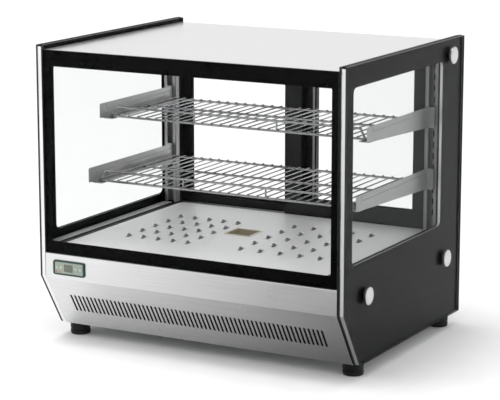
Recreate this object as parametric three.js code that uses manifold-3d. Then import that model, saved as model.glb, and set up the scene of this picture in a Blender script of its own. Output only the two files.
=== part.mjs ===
// Counter-top heated glass display case for hot food.
// Units: millimetres. +Z is up, the customer side faces -Y, the service side (sliding doors) faces +Y.
// Origin: on the counter surface, under the middle of the case.
import * as THREE from 'three';
import { mergeVertices } from 'three/addons/utils/BufferGeometryUtils.js';
import Module from 'manifold-3d';

const wasm = await Module();
wasm.setup();

// ---------------------------------------------------------------- driving dimensions
const WIDTH = 702;            // over the outer side glasses
const DEPTH = 560;            // front glass face to rear edge of the sides
const HEIGHT = 622;           // counter to the top of the sides
const FOOT_HEIGHT = 28;
const PAN_TOP = 62;              // upper edge of the floor pan
const GAP = 0.3;              // clearance between touching pieces

const HALF = WIDTH / 2;
const FRONT = -DEPTH / 2;
const REAR = DEPTH / 2;

// side sandwich, measured inwards from the outer face
const OUTER_GLASS = [HALF - 5, HALF];
const SPACER = [HALF - 12.7, HALF - 5.3];
const INNER_GLASS = [HALF - 18.7, HALF - 13];
const INSIDE = INNER_GLASS[0];          // half width between the inner glasses
const SIDE_SETBACK = 5;                 // sides stand back from the front face
const BEND_Z = 142;                     // height where the front starts to slope back
const TOE_BACK = 72;                    // how far the front slopes back at the bottom
const WINDOW = { y0: -240, z0: 233, z1: 578, r: 12 };
const WINDOW_REAR = { left: 205, right: 181 };   // the left window ends behind its upright

const TOP_Z = 613.5;                    // upper face of the roof sheet
const GLASS_FOOT_Z = 194.5;             // bottom edge of the front glass
const FRONT_HALF = 334;                 // half width of front glass and front panel
const GLASS_T = 4.7;
const SHEET = 1.5;

const DECK_Z = 213.8;                   // upper face of the perforated deck
const DECK_HALF = 299.7;
const DECK_Y = [-266, 212];
const DECK_SLOT = { w: 8, l: 26, columns: 5, rows: 5 };
const DECK_FIELDS = [
  { x0: -218, dx: 35.5, y0: -138, dy: 53 },
  { x0: 47, dx: 45, y0: -136, dy: 59 },
];
const PAN = { size: 58, depth: 26, x: -24, y: 0 };

const SHELF_HALF = 301;
const SHELVES = {
  upper: { z: 449, front: -78, rear: 188, bracketFront: -104 },
  lower: { z: 319, front: -124, rear: 188, bracketFront: -150 },
};
const WIRE = { long: 2.5, cross: 1.5, count: 28, guard: 20.5, strut: 2 };

const DOOR = { half: 312, middle: -8, overlap: 33, t: 14, z0: 203.5, z1: 600, meeting: 40, top: 38 };
const DOOR_STILE = { left: 20, right: 45 };      // width of each outer stile
const DOOR_Y = { right: 218, left: 240 };        // inner face of each door
const DOOR_RAIL = { right: 44, left: 25 };       // height of each bottom rail
const TRACK_Y = [214, 259];

const VENT = { count: 61, w: 4.6, z0: 64, z1: 104, half: 290 };
const CONTROL = { x: -276, z: 166, w: 77, h: 31, key: 8 };

// under the deck and on the rear service panel
const TRAY = { x: 286, y0: -216, y1: 204, z: 150, top: 204, t: 1.2 };
const FAN = { x: 150, y: 40, half: 46, bore: 43, blades: 7 };
const ELEMENT = { z: 176, r: 4, x0: -240, x1: 230, y0: -90, y1: 150, bend: 60 };
const SERVICE_Y = 263;                           // inner face of the rear service panel
const SWITCH = { x: 200, z: 125, rest: -6 };     // rocker rests tipped to its off side, degrees
const GLAND = { x: 270, z: 80, bore: 5 };
const LAMP_Y = [-266, -236];

// ---------------------------------------------------------------- materials
const finish = (color, roughness, metalness) => ({ color, roughness, metalness });
const STEEL = finish(0xc9cbcd, 0.35, 0.9);
const BRIGHT = finish(0xe8e9ea, 0.3, 0.9);
const GALVANISED = finish(0x9a9d9f, 0.5, 0.8);
const CHROME = finish(0xb0b2b4, 0.2, 1.0);
const BLACK = finish(0x101113, 0.4, 0.1);
const RUBBER = finish(0x0c0c0d, 0.8, 0.0);
const GLASS = finish(0xdfe8e6, 0.05, 0.0);
const NYLON = finish(0x2a2b2d, 0.6, 0.0);

const model = new THREE.Group();

function add(name, geometry, look) {
  const mesh = new THREE.Mesh(geometry, new THREE.MeshStandardMaterial(look));
  mesh.name = name;
  model.add(mesh);
}

// ---------------------------------------------------------------- shape helpers
const span = (side, a, b) => [Math.min(side * a, side * b), Math.max(side * a, side * b)];

function box([x0, x1], [y0, y1], [z0, z1]) {
  const g = new THREE.BoxGeometry(x1 - x0, y1 - y0, z1 - z0);
  return g.translate((x0 + x1) / 2, (y0 + y1) / 2, (z0 + z1) / 2);
}

function shapeOf(points, holes = []) {
  const shape = new THREE.Shape(points.map(([a, b]) => new THREE.Vector2(a, b)));
  shape.holes = holes;
  return shape;
}

function holeOf(points) {
  return new THREE.Path([...points, points[0]].map(([a, b]) => new THREE.Vector2(a, b)));
}

function roundHole(a, b, r) {
  const path = new THREE.Path();
  path.absarc(a, b, r, 0, Math.PI * 2, true);
  return path;
}

function roundedRect(a0, a1, b0, b1, r) {
  const path = new THREE.Path();
  path.moveTo(a0 + r, b0);
  path.lineTo(a1 - r, b0).absarc(a1 - r, b0 + r, r, -Math.PI / 2, 0, false);
  path.lineTo(a1, b1 - r).absarc(a1 - r, b1 - r, r, 0, Math.PI / 2, false);
  path.lineTo(a0 + r, b1).absarc(a0 + r, b1 - r, r, Math.PI / 2, Math.PI, false);
  path.lineTo(a0, b0 + r).absarc(a0 + r, b0 + r, r, Math.PI, Math.PI * 1.5, false);
  return path;
}

const slab = (shape, depth, steps = 4) =>
  new THREE.ExtrudeGeometry(shape, { depth, bevelEnabled: false, curveSegments: steps });

// outline in (y, z), thickness along x
function plateX(points, [x0, x1], holes = [], steps = 4) {
  const g = slab(shapeOf(points, holes), x1 - x0, steps);
  const turn = new THREE.Matrix4().makeBasis(
    new THREE.Vector3(0, 1, 0), new THREE.Vector3(0, 0, 1), new THREE.Vector3(1, 0, 0));
  return g.applyMatrix4(turn).translate(x0, 0, 0);
}

// outline in (x, z), thickness along y
function plateY(points, [y0, y1], holes = [], steps = 4) {
  const g = slab(shapeOf(points, holes), y1 - y0, steps);
  return g.rotateX(Math.PI / 2).translate(0, y1, 0);
}

// outline in (x, y), thickness along z
function plateZ(points, [z0, z1], holes = [], steps = 4) {
  return slab(shapeOf(points, holes), z1 - z0, steps).translate(0, 0, z0);
}

const rect = (a0, a1, b0, b1) => [[a0, b0], [a1, b0], [a1, b1], [a0, b1]];

function rod(from, to, r, sides = 6) {
  const a = new THREE.Vector3(...from);
  const b = new THREE.Vector3(...to);
  const along = b.clone().sub(a);
  const g = new THREE.CylinderGeometry(r, r, along.length(), sides);
  const turn = new THREE.Quaternion().setFromUnitVectors(new THREE.Vector3(0, 1, 0), along.normalize());
  return g.applyQuaternion(turn).translate((a.x + b.x) / 2, (a.y + b.y) / 2, (a.z + b.z) / 2);
}

// profile [radius, height] turned about z
function turned(profile, sides = 16) {
  const points = profile.map(([r, z]) => new THREE.Vector2(r, z));
  return new THREE.LatheGeometry(points, sides).rotateX(Math.PI / 2);
}

function solid(geometry) {
  const g = geometry.clone();
  g.deleteAttribute('normal');
  g.deleteAttribute('uv');
  const merged = mergeVertices(g, 1e-4);
  return new wasm.Manifold(new wasm.Mesh({
    numProp: 3,
    vertProperties: new Float32Array(merged.attributes.position.array),
    triVerts: new Uint32Array(merged.index.array),
  }));
}

function geometryOf(body) {
  const mesh = body.getMesh();
  const g = new THREE.BufferGeometry();
  g.setAttribute('position', new THREE.BufferAttribute(new Float32Array(mesh.vertProperties), 3));
  g.setIndex(new THREE.BufferAttribute(new Uint32Array(mesh.triVerts), 1));
  return g;
}

const join = (...parts) => geometryOf(parts.map(solid).reduce((sum, next) => sum.add(next)));
const cut = (part, ...tools) => geometryOf(tools.map(solid).reduce((rest, tool) => rest.subtract(tool), solid(part)));

// ---------------------------------------------------------------- side outline
const SIDE_FRONT = FRONT + SIDE_SETBACK;
function sideOutline(inset = 0) {
  const slope = TOE_BACK / (BEND_Z - FOOT_HEIGHT);
  const y = SIDE_FRONT + inset;
  const toe = y + TOE_BACK - inset * slope;
  return [
    [toe, FOOT_HEIGHT + inset], [REAR - inset, FOOT_HEIGHT + inset],
    [REAR - inset, HEIGHT - inset], [y, HEIGHT - inset], [y, BEND_Z + inset * 0.3],
  ];
}

const STUDS = { top_rear: [215, 588], low_rear: [200, 160], low_front: [-182, 164] };
const STUD = { capR: 18, capT: 7, shankR: 5, hole: 6 };

function buildSide(name, side) {
  const holes = Object.values(STUDS).map(([y, z]) => roundHole(y, z, STUD.hole));
  add(`${name}_outer_glass`, plateX(sideOutline(), span(side, ...OUTER_GLASS), holes, 6), GLASS);

  const { y0, z0, z1, r } = WINDOW;
  const opening = roundedRect(y0 - 2, WINDOW_REAR[name] + 2, z0 - 2, z1 + 2, r);
  add(`${name}_spacer_frame`, plateX(sideOutline(), span(side, ...SPACER), [opening], 3), BRIGHT);
  add(`${name}_inner_glass`, plateX(sideOutline(), span(side, ...INNER_GLASS)), GLASS);

  for (const [place, [y, z]] of Object.entries(STUDS)) {
    const inner = OUTER_GLASS[0] + GAP - HALF;
    const profile = [
      [0, inner], [STUD.shankR, inner], [STUD.shankR, GAP], [STUD.capR, GAP],
      [STUD.capR, STUD.capT - 1.5], [STUD.capR - 1.5, STUD.capT], [0, STUD.capT],
    ];
    const g = turned(profile, 12).rotateY(side * Math.PI / 2).translate(side * HALF, y, z);
    add(`${name}_stud_${place}`, g, BRIGHT);
  }
}

// ---------------------------------------------------------------- front, roof and base
function buildFrontPanel() {
  const slope = TOE_BACK / (BEND_Z - FOOT_HEIGHT);
  const lean = Math.atan(slope);
  // upright band with the return lip over its top edge
  const panelTop = GLASS_FOOT_Z - GAP;
  const { x, z, w, h } = CONTROL;
  const doorway = box([x - w / 2 + 4, x + w / 2 - 4], [FRONT - 1, FRONT + 3], [z - h / 2 + 3, z + h / 2 - 3]);
  const band = cut(box([-FRONT_HALF, FRONT_HALF], [FRONT, FRONT + SHEET], [BEND_Z, panelTop]), doorway);
  const lip = box([-FRONT_HALF, FRONT_HALF], [FRONT, FRONT + 4.4], [panelTop - SHEET, panelTop]);
  const ledge = box([-INSIDE + GAP, INSIDE - GAP], [FRONT + 4, DECK_Y[0] - GAP], [panelTop - SHEET, panelTop]);
  const upstand = box([-INSIDE + GAP, INSIDE - GAP], [DECK_Y[0] - 4, DECK_Y[0] - GAP], [panelTop - SHEET, 214]);
  // sloping band, drawn flat and leaned back about the bend
  const length = (BEND_Z - FOOT_HEIGHT) / Math.cos(lean);
  const slots = [];
  for (let i = 0; i < VENT.count; i++) {
    const cx = VENT.half * (2 * i / (VENT.count - 1) - 1);
    const a = (BEND_Z - VENT.z1) / Math.cos(lean);
    const b = (BEND_Z - VENT.z0) / Math.cos(lean);
    slots.push(box([cx - VENT.w / 2, cx + VENT.w / 2], [-1, SHEET + 1], [-b, -a]));
  }
  const apron = cut(box([-FRONT_HALF, FRONT_HALF], [0, SHEET], [-length, 0]), ...slots)
    .rotateX(lean).translate(0, FRONT, BEND_Z);
  // bottom return flange, turned inwards under the base
  const toe = FRONT + TOE_BACK;
  const flange = box([-INSIDE + GAP, INSIDE - GAP], [toe - 0.6, toe + 10], [FOOT_HEIGHT - 0.4, FOOT_HEIGHT + SHEET - 0.4]);
  const elbow = rod([-FRONT_HALF, FRONT + SHEET, BEND_Z], [FRONT_HALF, FRONT + SHEET, BEND_Z], 0.9, 6);
  add('front_panel', join(band, lip, ledge, upstand, apron, flange, elbow), STEEL);
}

function buildShell() {
  add('front_glass', box([-FRONT_HALF, FRONT_HALF], [FRONT, FRONT + GLASS_T], [GLASS_FOOT_Z, TOP_Z]), GLASS);

  const inside = [-INSIDE + GAP, INSIDE - GAP];
  const roofY = [SIDE_FRONT + GAP, REAR - 14];
  const roofInner = [inside[0] + SHEET, inside[1] - SHEET];
  const roof = cut(box(inside, roofY, [TOP_Z - 8, TOP_Z]),
    box(roofInner, [roofY[0] + SHEET, roofY[1] - SHEET], [TOP_Z - 9, TOP_Z - SHEET]));
  add('roof_sheet', roof, BRIGHT);

  // floor pan folded up on all four sides, with air inlets
  const floorY = [FRONT + TOE_BACK + 12, SERVICE_Y - 2];
  const low = FOOT_HEIGHT + GAP;
  const inlets = [];
  for (let i = -4; i <= 4; i++) {
    const x = FAN.x + i * 9;
    inlets.push(box([x - 2.5, x + 2.5], [FAN.y - 40, FAN.y + 40], [low - 1, low + 3]));
  }
  const hollow = box([inside[0] + SHEET, inside[1] - SHEET],
    [floorY[0] + SHEET, floorY[1] - SHEET], [low + SHEET, PAN_TOP + 1]);
  add('base_pan', cut(box(inside, floorY, [low, PAN_TOP]), hollow, ...inlets), GALVANISED);

  // rear service panel with louvres, a switch opening and a cable opening
  const through = [SERVICE_Y - 1, SERVICE_Y + 3];
  const louvres = [];
  for (let i = 0; i < 20; i++) louvres.push(box([-230 + i * 14, -224 + i * 14], through, [90, 150]));
  const switchHole = box([SWITCH.x - 14, SWITCH.x + 14], through, [SWITCH.z - 11, SWITCH.z + 11]);
  const cableHole = rod([GLAND.x, through[0], GLAND.z], [GLAND.x, through[1], GLAND.z], 9, 12);
  const foot = [PAN_TOP + 1, PAN_TOP + 1 + SHEET];
  const cover = cut(box(inside, [SERVICE_Y, SERVICE_Y + SHEET], [foot[0], 197]), ...louvres, switchHole, cableHole);
  const lowerLip = box(inside, [SERVICE_Y - 2 + GAP, SERVICE_Y + 0.5], foot);
  add('rear_panel', join(cover, lowerLip), STEEL);
}

function buildFeet() {
  const spots = { front_left: [-320, -176], front_right: [320, -176], rear_left: [-320, 240], rear_right: [320, 240] };
  const top = FOOT_HEIGHT - GAP - 0.4;
  const profile = [[0, 0], [18, 0], [20.5, 2.5], [21, 8], [21, top - 3], [19, top], [0, top]];
  for (const [place, [x, y]] of Object.entries(spots)) {
    add(`foot_${place}`, turned(profile, 14).translate(x, y, 0), RUBBER);
  }
}

// ---------------------------------------------------------------- interior
function buildSides() {
  for (const [name, side] of [['left', -1], ['right', 1]]) {
    const sill = box(span(side, 311, INSIDE - GAP), [DECK_Y[0], 190], [198, 216]);
    const rail = box(span(side, 300.3, 311.5), DECK_Y, [196, 214]);
    const ledge = box(span(side, 290, 301), DECK_Y, [206.8, 208.3]);
    add(`${name}_deck_rail`, join(sill, rail, ledge), BLACK);

    // slotted upright: a channel open to the front between two lips
    const a = 302 * side;
    const b = (INSIDE - GAP) * side;
    const mid = (302 + INSIDE) / 2;
    const p = mid - 7;
    const q = mid + 7;
    const t = SHEET;
    const section = [
      [a, 193], [p * side, 193], [p * side, 193 + t], [a + t * side, 193 + t],
      [a + t * side, 208 - t], [b - t * side, 208 - t], [b - t * side, 193 + t],
      [q * side, 193 + t], [q * side, 193], [b, 193], [b, 208], [a, 208],
    ];
    add(`${name}_upright`, plateZ(section, [216.3, 603]), GALVANISED);
  }
}

function buildDeck() {
  const { w, l, columns, rows } = DECK_SLOT;
  const slots = [];
  for (const { x0, dx, y0, dy } of DECK_FIELDS) {
    for (let c = 0; c < columns; c++) {
      for (let r = 0; r < rows; r++) {
        const x = x0 + c * dx;
        const y = y0 + r * dy;
        slots.push(box([x - w / 2, x + w / 2], [y - l / 2, y + l / 2], [DECK_Z - 4, DECK_Z + 1]));
      }
    }
  }
  const hole = PAN.size / 2 - 1;
  slots.push(box([PAN.x - hole, PAN.x + hole], [PAN.y - hole, PAN.y + hole], [DECK_Z - 3, DECK_Z + 1]));
  const underside = box([-DECK_HALF + SHEET, DECK_HALF - SHEET],
    [DECK_Y[0] + SHEET, DECK_Y[1] - SHEET], [200, DECK_Z - SHEET]);
  add('deck', cut(box([-DECK_HALF, DECK_HALF], DECK_Y, [208.6, DECK_Z]), underside, ...slots), STEEL);

  // square water cup hanging in the middle of the deck
  const o = hole - GAP;
  const cup = cut(
    join(box([-o, o], [-o, o], [DECK_Z - PAN.depth, DECK_Z + 0.5]),
      box([-o - 4, o + 4], [-o - 4, o + 4], [DECK_Z + GAP, DECK_Z + 1.3])),
    box([-o + 1, o - 1], [-o + 1, o - 1], [DECK_Z - PAN.depth + 1, DECK_Z + 3]));
  add('water_cup', cup.translate(PAN.x, PAN.y, 0), STEEL);
  const plug = [[0, 0], [9, 0], [9, 3], [5, 4], [5, 9], [0, 10]];
  add('cup_plug', turned(plug, 12).translate(PAN.x, PAN.y, DECK_Z - PAN.depth + 1 + GAP), NYLON);
}

function buildShelf(name, { z, front, rear }) {
  const zl = z + GAP + WIRE.long;
  const zc = zl + WIRE.long + WIRE.cross - 0.7;
  const parts = [front, (front + rear) / 2 + 20, rear].map((y) =>
    rod([-SHELF_HALF, y, zl], [SHELF_HALF, y, zl], WIRE.long));
  for (let i = 0; i < WIRE.count; i++) {
    const x = -SHELF_HALF + 2 + (2 * SHELF_HALF - 4) * i / (WIRE.count - 1);
    parts.push(rod([x, front - 3, zc], [x, rear + 3, zc], WIRE.cross, 4));
  }
  const guard = zl + WIRE.guard;
  parts.push(rod([-SHELF_HALF + 2, front, guard], [SHELF_HALF - 2, front, guard], WIRE.long));
  for (let i = 0; i < 4; i++) {
    const x = -SHELF_HALF + 13 + (2 * SHELF_HALF - 26) * i / 3;
    parts.push(rod([x, front, zl], [x, front, guard], WIRE.strut));
  }
  add(`${name}_shelf`, join(...parts), CHROME);
}

function buildBrackets(name, { z, bracketFront }) {
  for (const [sideName, side] of [['left', -1], ['right', 1]]) {
    const back = 191;
    const blade = plateX(
      [[bracketFront, z + 3], [back, z - 13], [back, z + 31], [bracketFront, z + 31]], span(side, 309.5, 311));
    const seat = box(span(side, 286, 310), [bracketFront + 12, back - 8], [z - SHEET, z]);
    const foot = box(span(side, 309.5, 325), [back - SHEET, back], [z - 13, z + 31]);
    const hooks = [z - 6, z + 16].map((hz) => box(span(side, 313, 320), [back - 0.5, back + 8], [hz, hz + 9]));
    add(`${name}_${sideName}_bracket`, join(blade, seat, foot, ...hooks), GALVANISED);
  }
}

// ---------------------------------------------------------------- sliding doors
function buildDoor(name, side) {
  const y = DOOR_Y[name];
  const stile = DOOR_STILE[name];
  const x0 = side < 0 ? -DOOR.half : DOOR.middle - DOOR.overlap;
  const x1 = side < 0 ? DOOR.middle + DOOR.overlap : DOOR.half;
  const a0 = x0 + (side < 0 ? stile : DOOR.meeting);
  const a1 = x1 - (side < 0 ? DOOR.meeting : stile);
  const b0 = DOOR.z0 + DOOR_RAIL[name];
  const b1 = DOOR.z1 - DOOR.top;
  const frame = plateY(rect(x0, x1, DOOR.z0, DOOR.z1), [y, y + DOOR.t], [holeOf(rect(a0, a1, b0, b1))]);
  add(`${name}_door_frame`, frame, BLACK);
  add(`${name}_door_glass`,
    box([a0 + GAP, a1 - GAP], [y + 5, y + 9], [b0 + GAP, b1 - GAP]), GLASS);
  const grip = side < 0 ? x0 + stile / 2 : x1 - stile / 2;
  add(`${name}_door_pull`, box([grip - 7, grip + 7], [y + DOOR.t + GAP, y + DOOR.t + 6], [350, 450]), NYLON);
}

function buildTracks() {
  const inside = [-INSIDE + GAP, INSIDE - GAP];
  const lips = [[TRACK_Y[0], TRACK_Y[0] + 2], [234.8, 237.2], [TRACK_Y[1] - 2.5, TRACK_Y[1]]];
  const lipTops = [209, 211.5, 224];
  const base = box(inside, TRACK_Y, [200, 202]);
  const doorway = [-DOOR.half, DOOR.half];
  add('bottom_track', join(base, ...lips.map((y, i) => box(doorway, y, [201, lipTops[i]]))), BRIGHT);
  const ceiling = box(inside, TRACK_Y, [603.3, 605.5]);
  const jambs = [-1, 1].map((s) => box(span(s, DOOR.half + 1, INSIDE - GAP), TRACK_Y, [202.3, 605]));
  add('door_surround', join(ceiling, ...jambs, ...lips.map((y) => box(doorway, y, [588, 604]))), BLACK);
}

// ---------------------------------------------------------------- heating, lighting and controls
function buildHeating() {
  const { x: half, y0, y1, z, top, t } = TRAY;
  const trayHollow = box([t - half, half - t], [y0 + t, y1 - t], [z + t, top + 1]);
  const fanHole = rod([FAN.x, FAN.y, z - 1], [FAN.x, FAN.y, z + t + 1], FAN.bore - 1, 16);
  add('air_tray', cut(box([-half, half], [y0, y1], [z, top]), trayHollow, fanHole), GALVANISED);
  add('heating_element', hairpin(), GALVANISED);
  buildFan();
  const lead = cut(box([-250, -150], [120, 190], [30.1, 70]), box([-247, -153], [123, 187], [33, 71]));
  add('terminal_box', lead, NYLON);
}

// tubular element bent to a long hairpin, open towards +X
function hairpin() {
  const at = (x, y) => new THREE.Vector3(x, y, ELEMENT.z);
  const { x0, x1, y0, y1, bend, r } = ELEMENT;
  const path = new THREE.CurvePath();
  path.add(new THREE.LineCurve3(at(x1, y1), at(x0 + bend, y1)));
  path.add(new THREE.QuadraticBezierCurve3(at(x0 + bend, y1), at(x0, y1), at(x0, y1 - bend)));
  path.add(new THREE.LineCurve3(at(x0, y1 - bend), at(x0, y0 + bend)));
  path.add(new THREE.QuadraticBezierCurve3(at(x0, y0 + bend), at(x0, y0), at(x0 + bend, y0)));
  path.add(new THREE.LineCurve3(at(x0 + bend, y0), at(x1, y0)));
  const section = new THREE.Shape();
  section.absarc(0, 0, r, 0, Math.PI * 2, false);
  return new THREE.ExtrudeGeometry(section, { extrudePath: path, steps: 28, curveSegments: 4 });
}

// axial fan under the tray
function buildFan() {
  const { x, y, half, bore, blades } = FAN;
  const bars = [TRAY.z - 28, TRAY.z - 25];
  const ring = plateZ(rect(x - half, x + half, y - half, y + half), [bars[0], TRAY.z - 3], [roundHole(x, y, bore)], 6);
  const spokes = [
    box([x - bore - 1, x + bore + 1], [y - 3, y + 3], bars),
    box([x - 3, x + 3], [y - bore - 1, y + bore + 1], bars),
    turned([[0, bars[0]], [18, bars[0]], [18, bars[1] + 1], [0, bars[1] + 1]], 12).translate(x, y, 0),
  ];
  add('fan_housing', join(ring, ...spokes), NYLON);

  const [low, high] = [bars[1] + 1.6, TRAY.z - 5];
  const hub = turned([[0, low], [18, low], [18, high - 2], [15, high], [0, high]], 14);
  const vanes = [];
  for (let i = 0; i < blades; i++) {
    const vane = new THREE.BoxGeometry(24, 1.4, 20).rotateX(0.75).translate(28, 0, TRAY.z - 14);
    vanes.push(vane.rotateZ(i * Math.PI * 2 / blades));
  }
  add('fan_rotor', join(hub, ...vanes).translate(x, y, 0), NYLON);
}

function buildLamp() {
  const [y0, y1] = LAMP_Y;
  const [low, top, t] = [590, 604, 1.2];
  const channel = [[y0, top], [y0, low], [y1, low], [y1, top],
    [y1 - t, top], [y1 - t, low + t], [y0 + t, low + t], [y0 + t, top]];
  add('lamp_housing', plateX(channel, [-290, 290]), STEEL);
  const lens = [[y1 - 4, low - GAP], [y1 - 4, 587], [y1 - 8, 585], [y0 + 8, 585], [y0 + 4, 587], [y0 + 4, low - GAP]];
  add('lamp_diffuser', plateX(lens, [-284, 284]), finish(0xf4f4ee, 0.4, 0));
}

function buildThermostat() {
  const { x, z, w, h, key } = CONTROL;
  const outline = roundedRect(x - w / 2, x + w / 2, z - h / 2, z + h / 2, 5).getPoints(3);
  const keyX = { down: x - 29, up: x - 19, set: x + 17, lamp: x + 28 };
  const across = (centre, play) => [centre - key / 2 + play, centre + key / 2 - play];
  const through = [FRONT - 4, FRONT];
  const keyHoles = Object.values(keyX).map((kx) => box(across(kx, 0), through, across(z, 0)));
  const screen = box([x - 12, x + 10], through, [z - 8, z + 8]);
  const face = plateY(outline.slice(0, -1).map((p) => [p.x, p.y]), [FRONT - 3, FRONT - GAP]);
  add('thermostat_bezel', cut(face, ...keyHoles, screen), finish(0x1d3a30, 0.45, 0));
  const body = box([x - w / 2 + 4.5, x + w / 2 - 4.5], [FRONT + 0.2, FRONT + 58], [z - h / 2 + 3.5, z + h / 2 - 3.5]);
  add('thermostat_body', body, NYLON);
  const display = box([x - 12 + GAP, x + 10 - GAP], [FRONT - 2.4, FRONT - GAP], [z - 8 + GAP, z + 8 - GAP]);
  add('thermostat_display', display, finish(0x55605a, 0.2, 0));
  for (const [name, kx] of Object.entries(keyX)) {
    add(`key_${name}`, box(across(kx, GAP), [FRONT - 3, FRONT - 1], across(z, GAP)), NYLON);
  }
}

// rocker switch snapped into the rear panel, and the gland that the mains lead enters by
function buildService() {
  const { x, z, rest } = SWITCH;
  const well = box([x - 11, x + 11], [SERVICE_Y - 19, SERVICE_Y + 7], [z - 8, z + 8]);
  const barrel = box([x - 13.5, x + 13.5], [SERVICE_Y - 23, SERVICE_Y + 3], [z - 10.5, z + 10.5]);
  const rim = box([x - 16, x + 16], [SERVICE_Y + 1.8, SERVICE_Y + 3.8], [z - 13, z + 13]);
  add('switch_housing', cut(join(barrel, rim), well), NYLON);
  const paddle = [[-10, -2], [10, -2], [10.4, 4], [0, 1.2], [-10.4, 4]];
  const rocker = plateZ(paddle, [-7.4, 7.4]).rotateZ(rest * Math.PI / 180).translate(x, SERVICE_Y - 3, z);
  add('rocker', rocker, finish(0x8c1a14, 0.4, 0));

  const { bore } = GLAND;
  const nut = [[bore, -5], [8, -5], [8, 1.8], [14, 1.8], [14, 8], [11, 11], [9, 20], [bore, 20], [bore, -5]];
  const profile = nut.map(([r, y]) => new THREE.Vector2(r, y));
  add('cable_gland', new THREE.LatheGeometry(profile, 16).translate(GLAND.x, SERVICE_Y, GLAND.z), NYLON);
}

buildSide('left', -1);
buildSide('right', 1);
buildFrontPanel();
buildShell();
buildFeet();
buildSides();
buildDeck();
for (const [name, shelf] of Object.entries(SHELVES)) {
  buildShelf(name, shelf);
  buildBrackets(name, shelf);
}
buildTracks();
buildDoor('left', -1);
buildDoor('right', 1);
buildHeating();
buildLamp();
buildThermostat();
buildService();

export default model;
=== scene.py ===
# %% [markdown]
# # A counter-top hot food display case
# The case is a box of printed glass on a vented steel base. Each side is a sandwich of two glass panes
# with a bright aluminium spacer between them, and the front is a single pane. Two wire shelves hang on
# brackets over a perforated steel deck, and two framed glass doors slide past each other at the back. The
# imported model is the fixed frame: it says where every piece is. This file gives each piece its real
# surface, its rounded edges and its finish, in metres, with +Z up and the customer's side facing -Y.

# %% Load the fixed frame
import math

import bmesh
import bpy
from mathutils import Matrix, Vector


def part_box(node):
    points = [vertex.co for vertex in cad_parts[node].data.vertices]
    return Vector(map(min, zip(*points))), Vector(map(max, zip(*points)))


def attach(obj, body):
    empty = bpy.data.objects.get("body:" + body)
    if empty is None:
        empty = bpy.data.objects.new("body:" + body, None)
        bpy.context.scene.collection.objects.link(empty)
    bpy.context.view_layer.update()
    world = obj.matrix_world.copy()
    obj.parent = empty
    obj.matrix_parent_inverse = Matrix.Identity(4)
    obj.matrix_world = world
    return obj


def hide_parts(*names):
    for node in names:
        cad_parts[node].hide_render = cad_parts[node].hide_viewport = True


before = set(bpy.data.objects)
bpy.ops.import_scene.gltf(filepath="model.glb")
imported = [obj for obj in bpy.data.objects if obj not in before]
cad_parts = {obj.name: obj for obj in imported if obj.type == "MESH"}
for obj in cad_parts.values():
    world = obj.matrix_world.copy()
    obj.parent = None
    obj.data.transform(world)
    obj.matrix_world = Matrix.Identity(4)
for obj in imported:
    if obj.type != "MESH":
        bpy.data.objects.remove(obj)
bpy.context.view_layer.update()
MM = 0.001
SIDES = {"left": -1, "right": 1}

# %% [markdown]
# ## Camera
# The case is seen from the customer's right, a little from above, with a long lens so that upright edges
# stay nearly upright. The camera is placed by two turns about a point in the middle of the case, as on a
# tripod head.

# %% Camera on its tripod
CAMERA_YAW, CAMERA_PITCH = math.radians(28.73), math.radians(11.68)
CAMERA_DISTANCE = 4.24
aim = Vector((-0.0078, 0, 0.2852))
forward = Vector((
    -math.sin(CAMERA_YAW) * math.cos(CAMERA_PITCH),
    math.cos(CAMERA_YAW) * math.cos(CAMERA_PITCH),
    -math.sin(CAMERA_PITCH),
))
camera_data = bpy.data.cameras.new("camera")
camera_data.lens = 146
camera_data.sensor_width = 36
camera = bpy.data.objects.new("camera", camera_data)
camera.location = aim - forward * CAMERA_DISTANCE
camera.rotation_euler = forward.to_track_quat("-Z", "Y").to_euler()
bpy.context.scene.collection.objects.link(camera)
bpy.context.scene.camera = camera
bpy.context.scene.view_settings.view_transform = "Standard"
print("camera at", [round(v, 2) for v in camera.location])

# %% [markdown]
# ## Finishes
# A finish is one Principled shader with patterns feeding its colour, roughness and bump. The patterns
# read Object coordinates, which are metres in the frame of the whole case, so a grain has its true size
# on every piece and moves with the piece. Each recipe below starts from the same small kit: a shader, a
# noise and a way to spread a noise between two values.


# %% A small kit for finishes
def new_finish(name, colour, roughness, metallic=0.0):
    material = bpy.data.materials.new(name)
    material.use_nodes = True
    shader = material.node_tree.nodes["Principled BSDF"]
    shader.inputs["Base Color"].default_value = (*colour, 1)
    shader.inputs["Roughness"].default_value = roughness
    shader.inputs["Metallic"].default_value = metallic
    return material, shader


def pattern(material, scale, stretch=(1, 1, 1), detail=3.0, kind="ShaderNodeTexNoise"):
    nodes, links = material.node_tree.nodes, material.node_tree.links
    place = nodes.new("ShaderNodeTexCoord")
    shape = nodes.new("ShaderNodeMapping")
    shape.inputs["Scale"].default_value = stretch
    texture = nodes.new(kind)
    texture.inputs["Scale"].default_value = scale
    if "Detail" in texture.inputs:
        texture.inputs["Detail"].default_value = detail
    links.new(place.outputs["Object"], shape.inputs["Vector"])
    links.new(shape.outputs["Vector"], texture.inputs["Vector"])
    return texture.outputs[0]


def spread(material, value, low, high, socket):
    """Feeds socket a number that goes from low to high with the pattern."""
    nodes, links = material.node_tree.nodes, material.node_tree.links
    ramp = nodes.new("ShaderNodeMapRange")
    ramp.inputs["From Min"].default_value = 0.3
    ramp.inputs["From Max"].default_value = 0.7
    ramp.inputs["To Min"].default_value = low
    ramp.inputs["To Max"].default_value = high
    links.new(value, ramp.inputs["Value"])
    links.new(ramp.outputs["Result"], socket)


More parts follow.
